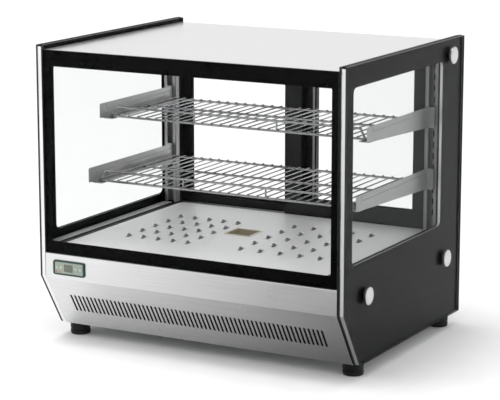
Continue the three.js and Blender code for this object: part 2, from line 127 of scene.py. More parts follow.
def tint(material, shader, value, dark, light):
    """Feeds the base colour a mix of two colours that follows the pattern."""
    nodes, links = material.node_tree.nodes, material.node_tree.links
    mix = nodes.new("ShaderNodeMix")
    mix.data_type = "RGBA"
    mix.inputs["A"].default_value = (*dark, 1)
    mix.inputs["B"].default_value = (*light, 1)
    spread(material, value, 0, 1, mix.inputs["Factor"])
    links.new(mix.outputs["Result"], shader.inputs["Base Color"])


def relief(material, shader, value, height):
    """Raises the surface by the pattern, height in metres."""
    nodes, links = material.node_tree.nodes, material.node_tree.links
    bump = nodes.new("ShaderNodeBump")
    bump.inputs["Distance"].default_value = height
    bump.inputs["Strength"].default_value = 1.0
    links.new(value, bump.inputs["Height"])
    links.new(bump.outputs["Normal"], shader.inputs["Normal"])


# %% [markdown]
# ### Sheet metal
# Stainless sheet is brushed by a belt, so its grain is a bundle of long scratches in one direction. A
# noise squeezed hard across the grain and left long along it gives those scratches. Zinc coated sheet has
# no grain: it shows a dull spangle of crystals, which cells of different grey give.


# %% Sheet metal finishes
def brushed(name, colour, roughness, along=(1, 0, 0), contrast=0.06, metallic=1.0):
    material, shader = new_finish(name, colour, roughness, metallic)
    squeeze = [6 if a else 900 for a in along]
    scratches = pattern(material, 1.0, squeeze, 4)
    clouds = pattern(material, 9.0, (1, 1, 1), 2)
    dark = [c * (1 - contrast) for c in colour]
    light = [min(1, c * (1 + contrast)) for c in colour]
    tint(material, shader, scratches, dark, light)
    spread(material, clouds, roughness * 0.85, roughness * 1.2, shader.inputs["Roughness"])
    relief(material, shader, scratches, 0.00002)
    return material


def spangled(name, colour, roughness):
    material, shader = new_finish(name, colour, roughness, 0.75)
    crystals = pattern(material, 160, (1, 1, 1), kind="ShaderNodeTexVoronoi")
    grime = pattern(material, 25, (1, 1, 1), 4)
    tint(material, shader, crystals, [c * 0.86 for c in colour], [c * 1.1 for c in colour])
    spread(material, grime, roughness * 0.8, roughness * 1.25, shader.inputs["Roughness"])
    relief(material, shader, grime, 0.00004)
    return material


front_steel = brushed("front_steel", (0.80, 0.80, 0.805), 0.30)
deck_steel = brushed("deck_steel", (0.84, 0.84, 0.845), 0.46, (1, 0, 0), 0.035, 0.35)
roof_steel = brushed("roof_steel", (0.93, 0.93, 0.935), 0.20, (1, 0, 0), 0.02, 0.8)
stud_steel = brushed("stud_steel", (0.60, 0.60, 0.61), 0.28, (0, 0, 1), 0.03)
cup_steel = brushed("cup_steel", (0.66, 0.62, 0.50), 0.30, (0, 0, 1), 0.10, 0.7)
bracket_zinc = spangled("bracket_zinc", (0.42, 0.42, 0.425), 0.42)
duct_zinc = spangled("duct_zinc", (0.52, 0.53, 0.54), 0.45)
spacer_aluminium = brushed("spacer_aluminium", (0.96, 0.96, 0.96), 0.45, (0, 0, 1), 0.02)
track_aluminium = brushed("track_aluminium", (0.70, 0.70, 0.71), 0.35, (1, 0, 0), 0.05)
print("sheet metal finishes made")

# %% [markdown]
# ### Wire, paint, rubber and plastic
# Plated wire is smooth and bright, with small changes where it was welded. Powder coat has a fine orange
# peel, rubber a matt grain with dust in it, and moulded plastic a fine spark-eroded texture.


# %% Wire, paint, rubber and plastic finishes
def coated(name, dark, light, roughness, grain, height, metallic=0.0, shine=0.5):
    material, shader = new_finish(name, light, roughness, metallic)
    shader.inputs["Specular IOR Level"].default_value = shine
    fine = pattern(material, grain, (1, 1, 1), 3)
    clouds = pattern(material, 14, (1, 1, 1), 3)
    tint(material, shader, clouds, dark, light)
    spread(material, clouds, roughness * 0.85, min(1, roughness * 1.15), shader.inputs["Roughness"])
    relief(material, shader, fine, height)
    return material


wire_chrome = coated("wire_chrome", (0.36, 0.36, 0.37), (0.46, 0.46, 0.47), 0.24, 900, 0.00001, 1.0)
frame_black = coated("frame_black", (0.008, 0.008, 0.009), (0.014, 0.014, 0.015), 0.40, 1400, 3e-5, shine=0.3)
print_dark, print_light = (0.0012, 0.0012, 0.0013), (0.0020, 0.0020, 0.0022)
print_black = coated("print_black", print_dark, print_light, 0.20, 90, 4e-7, shine=0.05)
seal_black = coated("seal_black", (0.004, 0.004, 0.004), (0.009, 0.009, 0.009), 0.55, 900, 3e-5, shine=0.2)
foot_rubber = coated("foot_rubber", (0.004, 0.004, 0.004), (0.009, 0.009, 0.009), 0.55, 1200, 4e-5, shine=0.3)
black_nylon = coated("black_nylon", (0.018, 0.018, 0.019), (0.030, 0.030, 0.031), 0.50, 1800, 0.00003)
lens_white = coated("lens_white", (0.82, 0.82, 0.79), (0.88, 0.88, 0.85), 0.40, 900, 0.00001)
bezel_green = coated("bezel_green", (0.008, 0.034, 0.024), (0.018, 0.066, 0.046), 0.16, 1600, 0.000005)
face_pale = coated("face_pale", (0.25, 0.30, 0.25), (0.35, 0.40, 0.34), 0.35, 1600, 0.00001)
key_grey = coated("key_grey", (0.38, 0.41, 0.37), (0.46, 0.49, 0.44), 0.45, 1600, 0.00002)
display_smoke = coated("display_smoke", (0.10, 0.115, 0.09), (0.15, 0.165, 0.13), 0.12, 1200, 0.000003)
filter_mat = coated("filter_mat", (0.004, 0.004, 0.004), (0.010, 0.010, 0.010), 0.85, 500, 0.0002)
# the drain plug is pale, and its paleness is partly a painted highlight standing for a bright reflection
# inside the cup
plug_pale_painted_highlight = coated("plug_pale_painted_highlight", (0.74, 0.68, 0.60), (0.86, 0.80, 0.72), 0.35, 900, 0.00002)
upright_zinc = spangled("upright_zinc", (0.30, 0.30, 0.305), 0.45)
sill_grey = spangled("sill_grey", (0.50, 0.50, 0.505), 0.45)
mark_red = coated("mark_red", (0.40, 0.09, 0.08), (0.52, 0.14, 0.12), 0.35, 900, 0.00001)
rocker_red = coated("rocker_red", (0.30, 0.02, 0.015), (0.42, 0.035, 0.025), 0.25, 900, 0.00001)
sheath_tinted = coated("sheath_tinted", (0.16, 0.12, 0.10), (0.34, 0.30, 0.27), 0.38, 700, 0.00002, 1.0)
print("paint, rubber and plastic finishes made")

# %% [markdown]
# ### Glass
# A pane is so thin and flat that it hardly bends what is behind it, so the see-through part can be a
# Transparent shader. What the eye notices is the reflection, which grows towards a grazing look, so a
# glossy surface is mixed in by the third power of the facing, plus a little that is always there. A
# Fresnel node would turn the back of the pane into a mirror, because it expects the ray to bend on its
# way in. The ground edge of a pane is another matter: light is trapped in it and it looks dark and
# grey-green.


# %% Glass finishes
FACING_POWER, GRAZING_SHINE, STRAIGHT_SHINE = 3, 0.17, 0.008


def clear_glass(name, passing, smudge=0.05):
    material, shader = new_finish(name, (0.02, 0.025, 0.024), smudge)
    nodes, links = material.node_tree.nodes, material.node_tree.links
    smears = pattern(material, 7, (1, 1, 1), 4)
    spread(material, smears, smudge * 0.5, smudge * 1.5, shader.inputs["Roughness"])
    through = nodes.new("ShaderNodeBsdfTransparent")
    through.inputs["Color"].default_value = (*passing, 1)
    grazing = nodes.new("ShaderNodeLayerWeight")
    grazing.inputs["Blend"].default_value = 0.5
    steep = nodes.new("ShaderNodeMath")
    steep.operation = "POWER"
    steep.inputs[1].default_value = FACING_POWER
    shine = nodes.new("ShaderNodeMath")
    shine.operation = "MULTIPLY_ADD"
    shine.inputs[1].default_value = GRAZING_SHINE
    shine.inputs[2].default_value = STRAIGHT_SHINE
    mix = nodes.new("ShaderNodeMixShader")
    links.new(grazing.outputs["Facing"], steep.inputs[0])
    links.new(steep.outputs[0], shine.inputs[0])
    links.new(shine.outputs[0], mix.inputs["Fac"])
    links.new(through.outputs["BSDF"], mix.inputs[1])
    links.new(shader.outputs["BSDF"], mix.inputs[2])
    links.new(mix.outputs["Shader"], nodes["Material Output"].inputs["Surface"])
    return material


pane_glass = clear_glass("pane_glass", (0.990, 0.992, 0.991))
edge_glass = coated("edge_glass", (0.018, 0.021, 0.020), (0.040, 0.045, 0.043), 0.30, 600, 2e-5, shine=0.25)
print("glass finishes made")

# %% [markdown]
# ## Making shapes
# Most pieces of the case are sheet, plate, wire or something turned. Five small makers cover them: a
# plate cut from an outline with holes, a loft through rings, a turned form, a wire swept along points,
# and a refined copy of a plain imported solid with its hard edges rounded.


# %% Finishing a piece: smooth faces, finish, body and the solid it stands for
def finish_piece(name, mesh, materials, body, slot, *nodes, smooth=30):
    mesh.name = name
    piece = bpy.data.objects.new(name, mesh)
    bpy.context.scene.collection.objects.link(piece)
    for material in materials if isinstance(materials, (list, tuple)) else [materials]:
        mesh.materials.append(material)
    bm = bmesh.new()
    bm.from_mesh(mesh)
    bmesh.ops.recalc_face_normals(bm, faces=bm.faces)
    for face in bm.faces:
        face.smooth = True
    for edge in bm.edges:
        if len(edge.link_faces) == 2 and edge.calc_face_angle() > math.radians(smooth):
            edge.smooth = False
    bm.to_mesh(mesh)
    bm.free()
    shading = piece.modifiers.new("even shading", "WEIGHTED_NORMAL")
    shading.keep_sharp = True
    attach(piece, body)
    if nodes:
        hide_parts(*nodes)
    return piece


def join_meshes(*meshes):
    bm = bmesh.new()
    for mesh in meshes:
        bm.from_mesh(mesh)
    joined = bpy.data.meshes.new("joined")
    bm.to_mesh(joined)
    bm.free()
    return joined


# %% Outlines: rounded corners, rectangles and circles
def rounded(points, radius, steps=4):
    """The outline through points with each corner rounded by an arc."""
    out = []
    count = len(points)
    for i, corner in enumerate(points):
        here = Vector(corner)
        before = (Vector(points[i - 1]) - here).normalized()
        after = (Vector(points[(i + 1) % count]) - here).normalized()
        half = before.angle(after) / 2
        reach = radius / math.tan(half)
        centre = here + (before + after).normalized() * (radius / math.sin(half))
        start, end = here + before * reach - centre, here + after * reach - centre
        turn = start.angle_signed(end)
        for k in range(steps + 1):
            a = -turn * k / steps
            c, s = math.cos(a), math.sin(a)
            out.append((centre.x + start.x * c - start.y * s, centre.y + start.x * s + start.y * c))
    return out


def rectangle(a0, a1, b0, b1, radius=0.0, steps=4):
    points = [(a0, b0), (a1, b0), (a1, b1), (a0, b1)]
    return rounded(points, radius, steps) if radius else points


def inside(low, high, inset, radius=0.0, steps=4, ends=None):
    """A rectangle in x and z inside a box. Its two ends may have an inset of their own."""
    ends = inset if ends is None else ends
    return rectangle(low.x + ends, high.x - ends, low.z + inset, high.z - inset, radius, steps)


def circle(a, b, radius, steps=32):
    turns = [2 * math.pi * k / steps for k in range(steps)]
    return [(a + radius * math.cos(t), b + radius * math.sin(t)) for t in turns]


# %% A plate with holes, cut from a filled curve whose edges are eased by a small bevel
PLANES = {  # where the outline's two axes and the thickness go
    "x": Matrix(((0, 0, 1, 0), (1, 0, 0, 0), (0, 1, 0, 0), (0, 0, 0, 1))),
    "y": Matrix(((1, 0, 0, 0), (0, 0, -1, 0), (0, 1, 0, 0), (0, 0, 0, 1))),
    "z": Matrix.Identity(4),
}


def plate(outline, holes, across, low, high, ease=0.0):
    """A plate of the outline, from low to high along the axis named across."""
    curve = bpy.data.curves.new("outline", "CURVE")
    curve.dimensions = "2D"
    curve.fill_mode = "BOTH"
    curve.extrude = (high - low) / 2 - ease
    curve.bevel_depth = ease
    curve.bevel_resolution = 1
    curve.offset = -ease
    for ring in [outline, *holes]:
        spline = curve.splines.new("POLY")
        spline.points.add(len(ring) - 1)
        for point, (a, b) in zip(spline.points, ring):
            point.co = (a, b, 0, 1)
        spline.use_cyclic_u = True
    holder = bpy.data.objects.new("outline", curve)
    bpy.context.scene.collection.objects.link(holder)
    seen = holder.evaluated_get(bpy.context.evaluated_depsgraph_get())
    mesh = bpy.data.meshes.new_from_object(seen)
    bpy.data.objects.remove(holder)
    bpy.data.curves.remove(curve)
    mesh.materials.clear()
    bm = bmesh.new()
    bm.from_mesh(mesh)
    bmesh.ops.remove_doubles(bm, verts=bm.verts, dist=1e-6)
    bmesh.ops.transform(bm, matrix=Matrix.Translation((0, 0, (low + high) / 2)), verts=bm.verts)
    bmesh.ops.transform(bm, matrix=PLANES[across], verts=bm.verts)
    if across == "y":
        bmesh.ops.transform(bm, matrix=Matrix.Scale(-1, 4, (0, 1, 0)), verts=bm.verts)
    bmesh.ops.recalc_face_normals(bm, faces=bm.faces)
    bm.to_mesh(mesh)
    bm.free()
    return mesh


def block(x, y, z, ease=0.0006):
    """A bar or sheet with eased edges, between two values on each axis."""
    bm = bmesh.new()
    bmesh.ops.create_cube(bm, size=1)
    size = Vector((x[1] - x[0], y[1] - y[0], z[1] - z[0]))
    middle = Vector((x[0] + x[1], y[0] + y[1], z[0] + z[1])) / 2
    for vert in bm.verts:
        vert.co = Vector((vert.co.x * size.x, vert.co.y * size.y, vert.co.z * size.z)) + middle
    if ease:
        offset = min(ease, min(size) * 0.45)
        bmesh.ops.bevel(bm, geom=bm.edges, offset=offset, segments=2, affect="EDGES", profile=0.5)
    mesh = bpy.data.meshes.new("block")
    bm.to_mesh(mesh)
    bm.free()
    return mesh


# %% Rings, turned forms and wires
def skin_rings(rings, closed=False):
    """A mesh through rings of points. The ends are capped unless the rings close on themselves."""
    bm = bmesh.new()
    rows = [[bm.verts.new(p) for p in ring] for ring in rings]
    count = len(rows[0])
    pairs = list(zip(rows, rows[1:])) + ([(rows[-1], rows[0])] if closed else [])
    for a, b in pairs:
        for i in range(count):
            j = (i + 1) % count
            bm.faces.new((a[i], a[j], b[j], b[i]))
    if not closed:
        bm.faces.new(rows[0])
        bm.faces.new(rows[-1])
    bmesh.ops.recalc_face_normals(bm, faces=bm.faces)
    mesh = bpy.data.meshes.new("rings")
    bm.to_mesh(mesh)
    bm.free()
    return mesh


def turned(profile, place, sides=40, closed=False):
    """The profile, pairs of radius and height, turned about an axis that place puts in the frame."""
    rings = []
    for radius, height in profile:
        turns = [2 * math.pi * k / sides for k in range(sides)]
        rings.append([place @ Vector((radius * math.cos(t), radius * math.sin(t), height)) for t in turns])
    return skin_rings(rings, closed)


def in_mm(pairs):
    """Pairs given in millimetres, in metres."""
    return [(a * MM, b * MM) for a, b in pairs]


DOMED_END = ((0, 1), (0.25, 0.9), (0.7, 0.55))  # how far past the end, and how thick there, in radii


def wire(points, radius, sides=10):
    """A round wire along points, with its two ends domed."""
    path = [Vector(p) for p in points]
    rings = []
    side = None
    last = len(path) - 1
    for i, p in enumerate(path):
        along = (path[min(i + 1, last)] - path[max(i - 1, 0)]).normalized()
        if side is None:
            side = along.orthogonal().normalized()
        side = (side - along * side.dot(along)).normalized()
        other = along.cross(side)
        if i == 0:
            steps = [(-shift, share) for shift, share in reversed(DOMED_END)]
        else:
            steps = DOMED_END if i == last else DOMED_END[:1]
        for shift, share in steps:
            centre = p + along * shift * radius
            ring = []
            for k in range(sides):
                t = 2 * math.pi * k / sides
                ring.append(centre + (side * math.cos(t) + other * math.sin(t)) * radius * share)
            rings.append(ring)
    return skin_rings(rings)


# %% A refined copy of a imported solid: flat faces joined, hard edges rounded
def refined(name, material, body, slot, ease=0.0006, node=None, smooth=30):
    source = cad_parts[node or name].data
    bm = bmesh.new()
    bm.from_mesh(source)
    bmesh.ops.remove_doubles(bm, verts=bm.verts, dist=1e-6)
    bmesh.ops.dissolve_limit(bm, angle_limit=math.radians(1), verts=bm.verts, edges=bm.edges)
    hard = [e for e in bm.edges if len(e.link_faces) == 2 and e.calc_face_angle() > math.radians(35)]
    bmesh.ops.bevel(bm, geom=hard, offset=ease, segments=2, affect="EDGES", profile=0.5, clamp_overlap=True)
    mesh = bpy.data.meshes.new(name)
    bm.to_mesh(mesh)
    bm.free()
    mesh.materials.clear()
    return finish_piece(name + "_skin", mesh, material, body, slot, node or name, smooth=smooth)


# %% [markdown]
# ## Side glasses
# Each side is a sandwich. From outside in: a toughened pane, a black print fired on its back with a clear
# window left in it, a bright aluminium spacer, another print, and the inner pane. The print could be
# painted on the pane by a mask in its material, but as its own thin sheet it has a crisp edge from every
# side, and the pane in front of it shines over it as the real one does.

# %% The outline of a side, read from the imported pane
side_low, side_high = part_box("right_outer_glass")
front_low, front_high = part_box("front_panel")
BEND_Z = 142 * MM
TOE_Y = side_low.y + 72 * MM
WINDOW_FRONT, WINDOW_FOOT, WINDOW_HEAD = -240 * MM, 233 * MM, 578 * MM
WINDOW_REAR = {"left": 205 * MM, "right": 181 * MM}
WINDOW_RADIUS = 12 * MM
STUD_SPOTS = {
    "top_rear": (215 * MM, 588 * MM),
    "low_rear": (200 * MM, 160 * MM),
    "low_front": (-182 * MM, 164 * MM),
}


def side_outline(inset=0.0):
    y0, y1, z0, z1 = side_low.y + inset, side_high.y - inset, side_low.z + inset, side_high.z - inset
    return [(TOE_Y + inset * 0.4, z0), (y1, z0), (y1, z1), (y0, z1), (y0, BEND_Z + inset * 0.3)]


side_size = side_high - side_low
print("a side is", round(side_size.y, 3), "m deep and", round(side_size.z, 3), "m high")


# %% Panes, prints and spacers
def pane(name, outline, holes, across, low, high, body, node, slot="dark_glass"):
    mesh = plate(outline, holes, across, low, high, 0.7 * MM)
    axis = "xyz".index(across)
    piece = finish_piece(name, mesh, [pane_glass, edge_glass], body, slot, node)
    for polygon in mesh.polygons:
        polygon.material_index = 0 if abs(polygon.normal[axis]) > 0.9 else 1
    return piece


def build_side(name, side):
    window = (WINDOW_FRONT, WINDOW_REAR[name], WINDOW_FOOT, WINDOW_HEAD)
    outer_window = rectangle(*window, WINDOW_RADIUS, 8)
    inner_rear = min(window[1], 192 * MM)
    inner_window = rectangle(window[0] + 8 * MM, inner_rear, *window[2:], WINDOW_RADIUS, 8)
    studs = [circle(y, z, 6 * MM) for y, z in STUD_SPOTS.values()]
    edge = rounded(side_outline(), 1.5 * MM, 3)
    for layer, holes in (("outer", studs), ("inner", [])):
        low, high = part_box(f"{name}_{layer}_glass")
        pane(f"{name}_{layer}_pane", edge, holes, "x", low.x, high.x, "case", f"{name}_{layer}_glass")
        # the print lies in the hairline between pane and spacer
        toward_middle = layer == "outer"
        face = low.x if (side > 0) == toward_middle else high.x
        step = -side if toward_middle else side
        a, b = sorted((face + step * 0.05 * MM, face + step * 0.25 * MM))
        clear_part = outer_window if toward_middle else inner_window
        print_sheet = plate(rounded(side_outline(0.4 * MM), 1.5 * MM, 3), [clear_part, *holes], "x", a, b)
        finish_piece(f"{name}_{layer}_print", print_sheet, print_black, "case", "dark_glass")
    low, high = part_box(f"{name}_spacer_frame")
    lap = 2 * MM
    opening = rectangle(window[0] - lap, window[1] + lap, window[2] - lap, window[3] + lap, WINDOW_RADIUS, 6)
    spacer = plate(rounded(side_outline(), 3 * MM, 5), [opening], "x", low.x, high.x, 0.4 * MM)
    node = f"{name}_spacer_frame"
    finish_piece(f"{name}_spacer", spacer, spacer_aluminium, "case", "spacer_aluminium", node)


for name, side in SIDES.items():
    build_side(name, side)
print("two side sandwiches built")

# %% [markdown]
# A black strip caps the spacer along the top and down the rear edge, so only its front edge shines. The
# studs that hold the outer pane are turned buttons with a softly domed face and a fine groove near the
# rim.


# %% Edge strips and studs
def build_edge_strips(name):
    low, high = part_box(f"{name}_spacer_frame")
    x = (low.x - 0.2 * MM, high.x + 0.2 * MM)
    top = block(x, (low.y + 2 * MM, high.y + 0.6 * MM), (high.z - 0.2 * MM, high.z + 0.7 * MM), 0.3 * MM)
    rear = block(x, (high.y - 0.2 * MM, high.y + 0.7 * MM), (low.z, high.z + 0.5 * MM), 0.3 * MM)
    cap = block(x, (low.y - 0.5 * MM, low.y + 3 * MM), (high.z - 3.5 * MM, high.z + 0.7 * MM), 0.3 * MM)
    finish_piece(f"{name}_edge_strip", join_meshes(top, rear, cap), seal_black, "case", "black_rubber")


def build_stud(node, side):
    low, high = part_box(node)
    middle = (low + high) / 2
    radius = (high.y - low.y) / 2 / MM
    thick = (max(abs(low.x), abs(high.x)) - side_high.x) / MM
    gap = 0.3
    shank = [(5, -4.6), (5, gap), (radius - 1, gap), (radius, gap + 0.8), (radius, thick - 2)]
    rim = []
    for turn in (0.4, 0.8, 1.2, 1.57):
        rim.append((radius - 1.6 * (1 - math.cos(turn)), thick - 2 + 1.5 * math.sin(turn)))
    groove = [(radius - 3.6, thick - 0.5), (radius - 3.9, thick - 0.9), (radius - 4.3, thick - 0.4)]
    dome = [(radius * 0.5, thick - 0.1), (1, thick)]
    place = Matrix.Translation((side * side_high.x, middle.y, middle.z))
    place = place @ Matrix.Rotation(side * math.pi / 2, 4, "Y")
    button = turned(in_mm(shank + rim + groove + dome), place, 48)
    finish_piece(f"{node}_button", button, stud_steel, "case", "stud_steel", node)


for name, side in SIDES.items():
    build_edge_strips(name)
    for spot in STUD_SPOTS:
        build_stud(f"{name}_stud_{spot}", side)
print("edge strips and studs built")

# %% [markdown]
# ## Front glass
# One pane with a printed border covers the front from side to side. It stands on the return of the steel
# front.

# %% Front pane and its border
low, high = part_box("front_glass")
GLASS_SIDE_BORDER, GLASS_TOP_BORDER, GLASS_BOTTOM_BORDER = 16 * MM, 33.5 * MM, 25 * MM
edge = inside(low, high, 0, 1.5 * MM)
clear = rectangle(low.x + GLASS_SIDE_BORDER, high.x - GLASS_SIDE_BORDER,
                  low.z + GLASS_BOTTOM_BORDER, high.z - GLASS_TOP_BORDER, 2 * MM)
pane("front_pane", edge, [], "y", low.y, high.y, "case", "front_glass")
border = plate(edge, [clear], "y", high.y + 0.04 * MM, high.y + 0.24 * MM)
finish_piece("front_print", border, print_black, "case", "dark_glass")
print("clear front opening", round((clear[10][0] - clear[0][0]), 3))

# %% [markdown]
# ## Steel front
# The real panel is one sheet: the slots are punched while it is flat and then it is folded over the top,
# at the bend and under the base. It is made the same way here. A flat plate with its holes is cut across
# at every bend and each point is then laid along the folded line, with its depth kept square to the
# sheet.


# %% Folding a flat plate along a line
def folded_line(corners, radius):
    """The line through corners (y, z) in straight runs and arcs, each as a length, its steps and a function
    that turns a distance into a point and a direction."""
    parts = []
    here = Vector(corners[0])
    for i in range(1, len(corners)):
        corner = Vector(corners[i])
        run = (corner - here).normalized()
        if i == len(corners) - 1:
            end, reach = corner, 0
        else:
            after = (Vector(corners[i + 1]) - corner).normalized()
            turn = run.angle_signed(after) * -1
            reach = radius * math.tan(abs(turn) / 2)
            end = corner - run * reach
        length = (end - here).length
        parts.append((length, 1, lambda s, p=here, d=run: (p + d * s, d)))
        if reach:
            side = Vector((-run.y, run.x)) * (1 if turn > 0 else -1)
            centre = end + side * radius

            def arc(s, c=centre, q=end, d=run, k=(1 if turn > 0 else -1)):
                a = k * s / radius
                rotate = Matrix.Rotation(a, 2)
                return c + rotate @ (q - c), rotate @ d

            parts.append((radius * abs(turn), 6, arc))
            here = corner + after * reach
        else:
            here = end
    return parts


def fold(mesh, parts, inward):
    """Lays a flat plate (x, length along the line, depth) along the folded line."""
    bm = bmesh.new()
    bm.from_mesh(mesh)
    start = 0
    for length, steps, _ in parts:
        for k in range(steps + 1):
            at = start + length * k / steps
            bmesh.ops.bisect_plane(bm, geom=bm.verts[:] + bm.edges[:] + bm.faces[:], dist=1e-7,
                                   plane_co=(0, at, 0), plane_no=(0, 1, 0))
        start += length
    for vert in bm.verts:
        s = vert.co.y
        start = 0
        for length, _, at in parts:
            if s <= start + length + 1e-7:
                break
            start += length
        point, along = at(min(max(s - start, 0), length))
        across = Vector((-along.y, along.x)) * inward
        place = point + across * vert.co.z
        vert.co = (vert.co.x, place.x, place.y)
    bmesh.ops.recalc_face_normals(bm, faces=bm.faces)
    bm.to_mesh(mesh)
    bm.free()
    return mesh


# %% The slots, the opening for the controller and the folds of the steel front
low, high = front_low, front_high
PANEL_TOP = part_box("front_glass")[0].z - 0.3 * MM
SHEET = 1.2 * MM
TOE = (low.y + 72 * MM, 28 * MM)
TOP_RETURN, FOOT_RETURN, FOLD_RADIUS = 4.2 * MM, 8 * MM, 2.4 * MM
UNDERSIDE_END = (TOE[0] + FOOT_RETURN, TOE[1])
corners = [(low.y + TOP_RETURN, PANEL_TOP), (low.y, PANEL_TOP), (low.y, BEND_Z), TOE, UNDERSIDE_END]
line = folded_line(corners, FOLD_RADIUS)
total = sum(length for length, _, _ in line)


def length_at(height):
    """How far along the folded line the given height is."""
    start = 0
    for length, _, at in line:
        for k in range(200):
            if at(length * k / 200)[0].y <= height:
                return start + length * k / 200
        start += length
    return total


VENTS, VENT_WIDTH, VENT_Z, VENT_HALF = 61, 4.6 * MM, (64 * MM, 104 * MM), 290 * MM
vent_holes = []
for i in range(VENTS):
    x = VENT_HALF * (2 * i / (VENTS - 1) - 1)
    vent_holes.append(rectangle(x - VENT_WIDTH / 2, x + VENT_WIDTH / 2,
                                length_at(VENT_Z[1]), length_at(VENT_Z[0]), VENT_WIDTH * 0.49, 4))
body_low, body_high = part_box("thermostat_body")
opening = rectangle(body_low.x, body_high.x, length_at(body_high.z), length_at(body_low.z), 1 * MM)
flat = plate(rectangle(low.x, high.x, 0.0, total), [*vent_holes, opening], "z", 0, SHEET, 0.25 * MM)
panel = fold(flat, line, 1)
finish_piece("steel_front", panel, front_steel, "case", "brushed_steel", "front_panel", smooth=20)
print("steel front folded from a sheet", round(total, 3), "m long with", len(vent_holes), "slots")

# %% [markdown]
# Behind the fold a steel ledge carries the deck and a dark filter mat hangs behind the slots. Black seals
# close the hairlines at both ends of the panel; their black is partly painted shade, standing for the shaded
# turned-back ends of the steel.

# %% Ledge, filter mat and end seals
ledge_x = (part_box("left_inner_glass")[1].x + 0.3 * MM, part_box("right_inner_glass")[0].x - 0.3 * MM)
deck_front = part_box("deck")[0].y - 0.3 * MM
ledge = block(ledge_x, (low.y + 4.4 * MM, deck_front), (PANEL_TOP - 1.5 * MM, PANEL_TOP), 0.4 * MM)
upstand = block(ledge_x, (deck_front - 3.7 * MM, deck_front), (PANEL_TOP - 1.2 * MM, front_high.z), 0.4 * MM)
finish_piece("front_sill", join_meshes(ledge, upstand), frame_black, "case", "black_frame")


def under_slope(depth, z0, z1):
    """A sheet that hangs parallel to the sloping front, depth behind it."""
    lean = (TOE[0] - low.y) / (BEND_Z - TOE[1])
    half = VENT_HALF + 12 * MM
    ring = []
    for z, back in ((z0, 0), (z1, 0), (z1, 2 * MM), (z0, 2 * MM)):
        ring.append((low.y + (BEND_Z - z) * lean + depth + back, z))
    return skin_rings([[(x, y, z) for y, z in ring] for x in (-half, half)])


finish_piece("filter_mat", under_slope(9 * MM, 52 * MM, 118 * MM), filter_mat, "case", "black_plastic")
for name, side in SIDES.items():
    a, b = sorted((side * (front_high.x + 0.2 * MM), side * (front_high.x - 1.2 * MM)))
    set_back, foot_z = 1.2 * MM, TOE[1] + 1 * MM
    outer_line = [(low.y + set_back, PANEL_TOP), (low.y + set_back, BEND_Z), (TOE[0] + set_back, foot_z)]
    inner_line = [(UNDERSIDE_END[0], foot_z), (low.y + 10 * MM, BEND_Z + 2 * MM), (low.y + 5 * MM, PANEL_TOP)]
    seal_painted_shade_line = outer_line + inner_line
    # a black rubber seal over each end of the steel: partly a seal, partly painted shade for the shaded end
    # of the panel
    seal_painted_shade = skin_rings([[(x, y, z) for y, z in seal_painted_shade_line] for x in (a, b)])
    finish_piece(f"{name}_front_seal_painted_shade", seal_painted_shade, seal_black, "case", "black_rubber")
print("ledge, filter mat and seals built")

# %% [markdown]
# ## Roof
# A plain steel sheet folded down all round. It is one lofted form: the sheet's upper face, its rounded
# edge, the skirt and back up inside, so that it has a true thickness from every side.


# %% Folded trays and lids, as a loft through rounded rectangles
def folded_tray(x, y, levels, radius):
    """A loft through rounded rectangles. Each level is (inset from the outer size, height)."""
    rings = []
    for inset, z in levels:
        corner = max(radius - inset, 0.3 * MM)
        ring = rectangle(x[0] + inset, x[1] - inset, y[0] + inset, y[1] - inset, corner, 4)
        rings.append([(a, b, z) for a, b in ring])
    return skin_rings(rings)


low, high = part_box("roof_sheet")
t = SHEET
roof_levels = [
    (6 * MM, high.z), (0.8 * MM, high.z - 0.05 * MM), (0.25 * MM, high.z - 0.3 * MM), (0, high.z - 0.9 * MM),
    (0, low.z), (t, low.z), (t, high.z - t - 0.4 * MM), (t + 0.6 * MM, high.z - t),
]
roof = folded_tray((low.x, high.x), (low.y, high.y), roof_levels, 2 * MM)
finish_piece("roof_lid", roof, roof_steel, "case", "brushed_steel", "roof_sheet")
print("roof lid", round(high.x - low.x, 3), "by", round(high.y - low.y, 3))

# %% [markdown]
# ## Deck
# The deck is a steel plate with two fields of openings for the warm air, one on each side of a square
# cup. A punch slits the sheet and presses one side of each slit up into a small hood, like on a cheese
# grater: open towards the customer and running out to a point at the back. The hole is cut from a filled
# curve and the hood is lofted over it through half ellipses that shrink along its length.

# %% Deck plate with its slits and pressed hoods
COLUMNS, ROWS = 5, 5
SLIT_WIDTH, SLIT_LENGTH = 8 * MM, 26 * MM
HOOD_WIDTH, HOOD_HEIGHT, HOOD_SHEET = 5.2 * MM, 5.6 * MM, 0.6 * MM
HOOD_MOUTH, HOOD_RUN = -3 * MM, 16 * MM
SKIRT = 1.4 * MM
FIELDS = (  # first x, step in x, first y, step in y
    (-218 * MM, 35.5 * MM, -138 * MM, 53 * MM),
    (47 * MM, 45 * MM, -136 * MM, 59 * MM),
)


def slit(x, y):
    """The hole under a hood, wide at the mouth and narrow at the tip."""
    wide, narrow = SLIT_WIDTH / 2, SLIT_WIDTH / 8
    mouth, tip = y - SLIT_LENGTH / 2, y + SLIT_LENGTH * 0.4
    return rounded([(x - wide, mouth), (x + wide, mouth), (x + narrow, tip), (x - narrow, tip)], 0.7 * MM, 3)


def half_ellipse(a, b, steps=10):
    turns = [math.pi * i / steps for i in range(steps + 1)]
    return [(a * math.cos(t), b * math.sin(t)) for t in turns]


def hood(x, y, foot, steps=8):
    """A pressed hood over the rear of its slit: half ellipses that shrink from the open mouth to the tip."""
    rings = []
    for k in range(steps + 1):
        share = k / steps
        a = HOOD_WIDTH * (1 - share ** 1.7) + HOOD_SHEET * 1.1
        b = HOOD_HEIGHT * (1 - share ** 1.5) + HOOD_SHEET * 1.1
        outline = half_ellipse(a, b) + half_ellipse(a - HOOD_SHEET, b - HOOD_SHEET)[::-1]
        at = y + HOOD_MOUTH + HOOD_RUN * share
        rings.append([(x + u, at, foot + v) for u, v in outline])
    return skin_rings(rings)


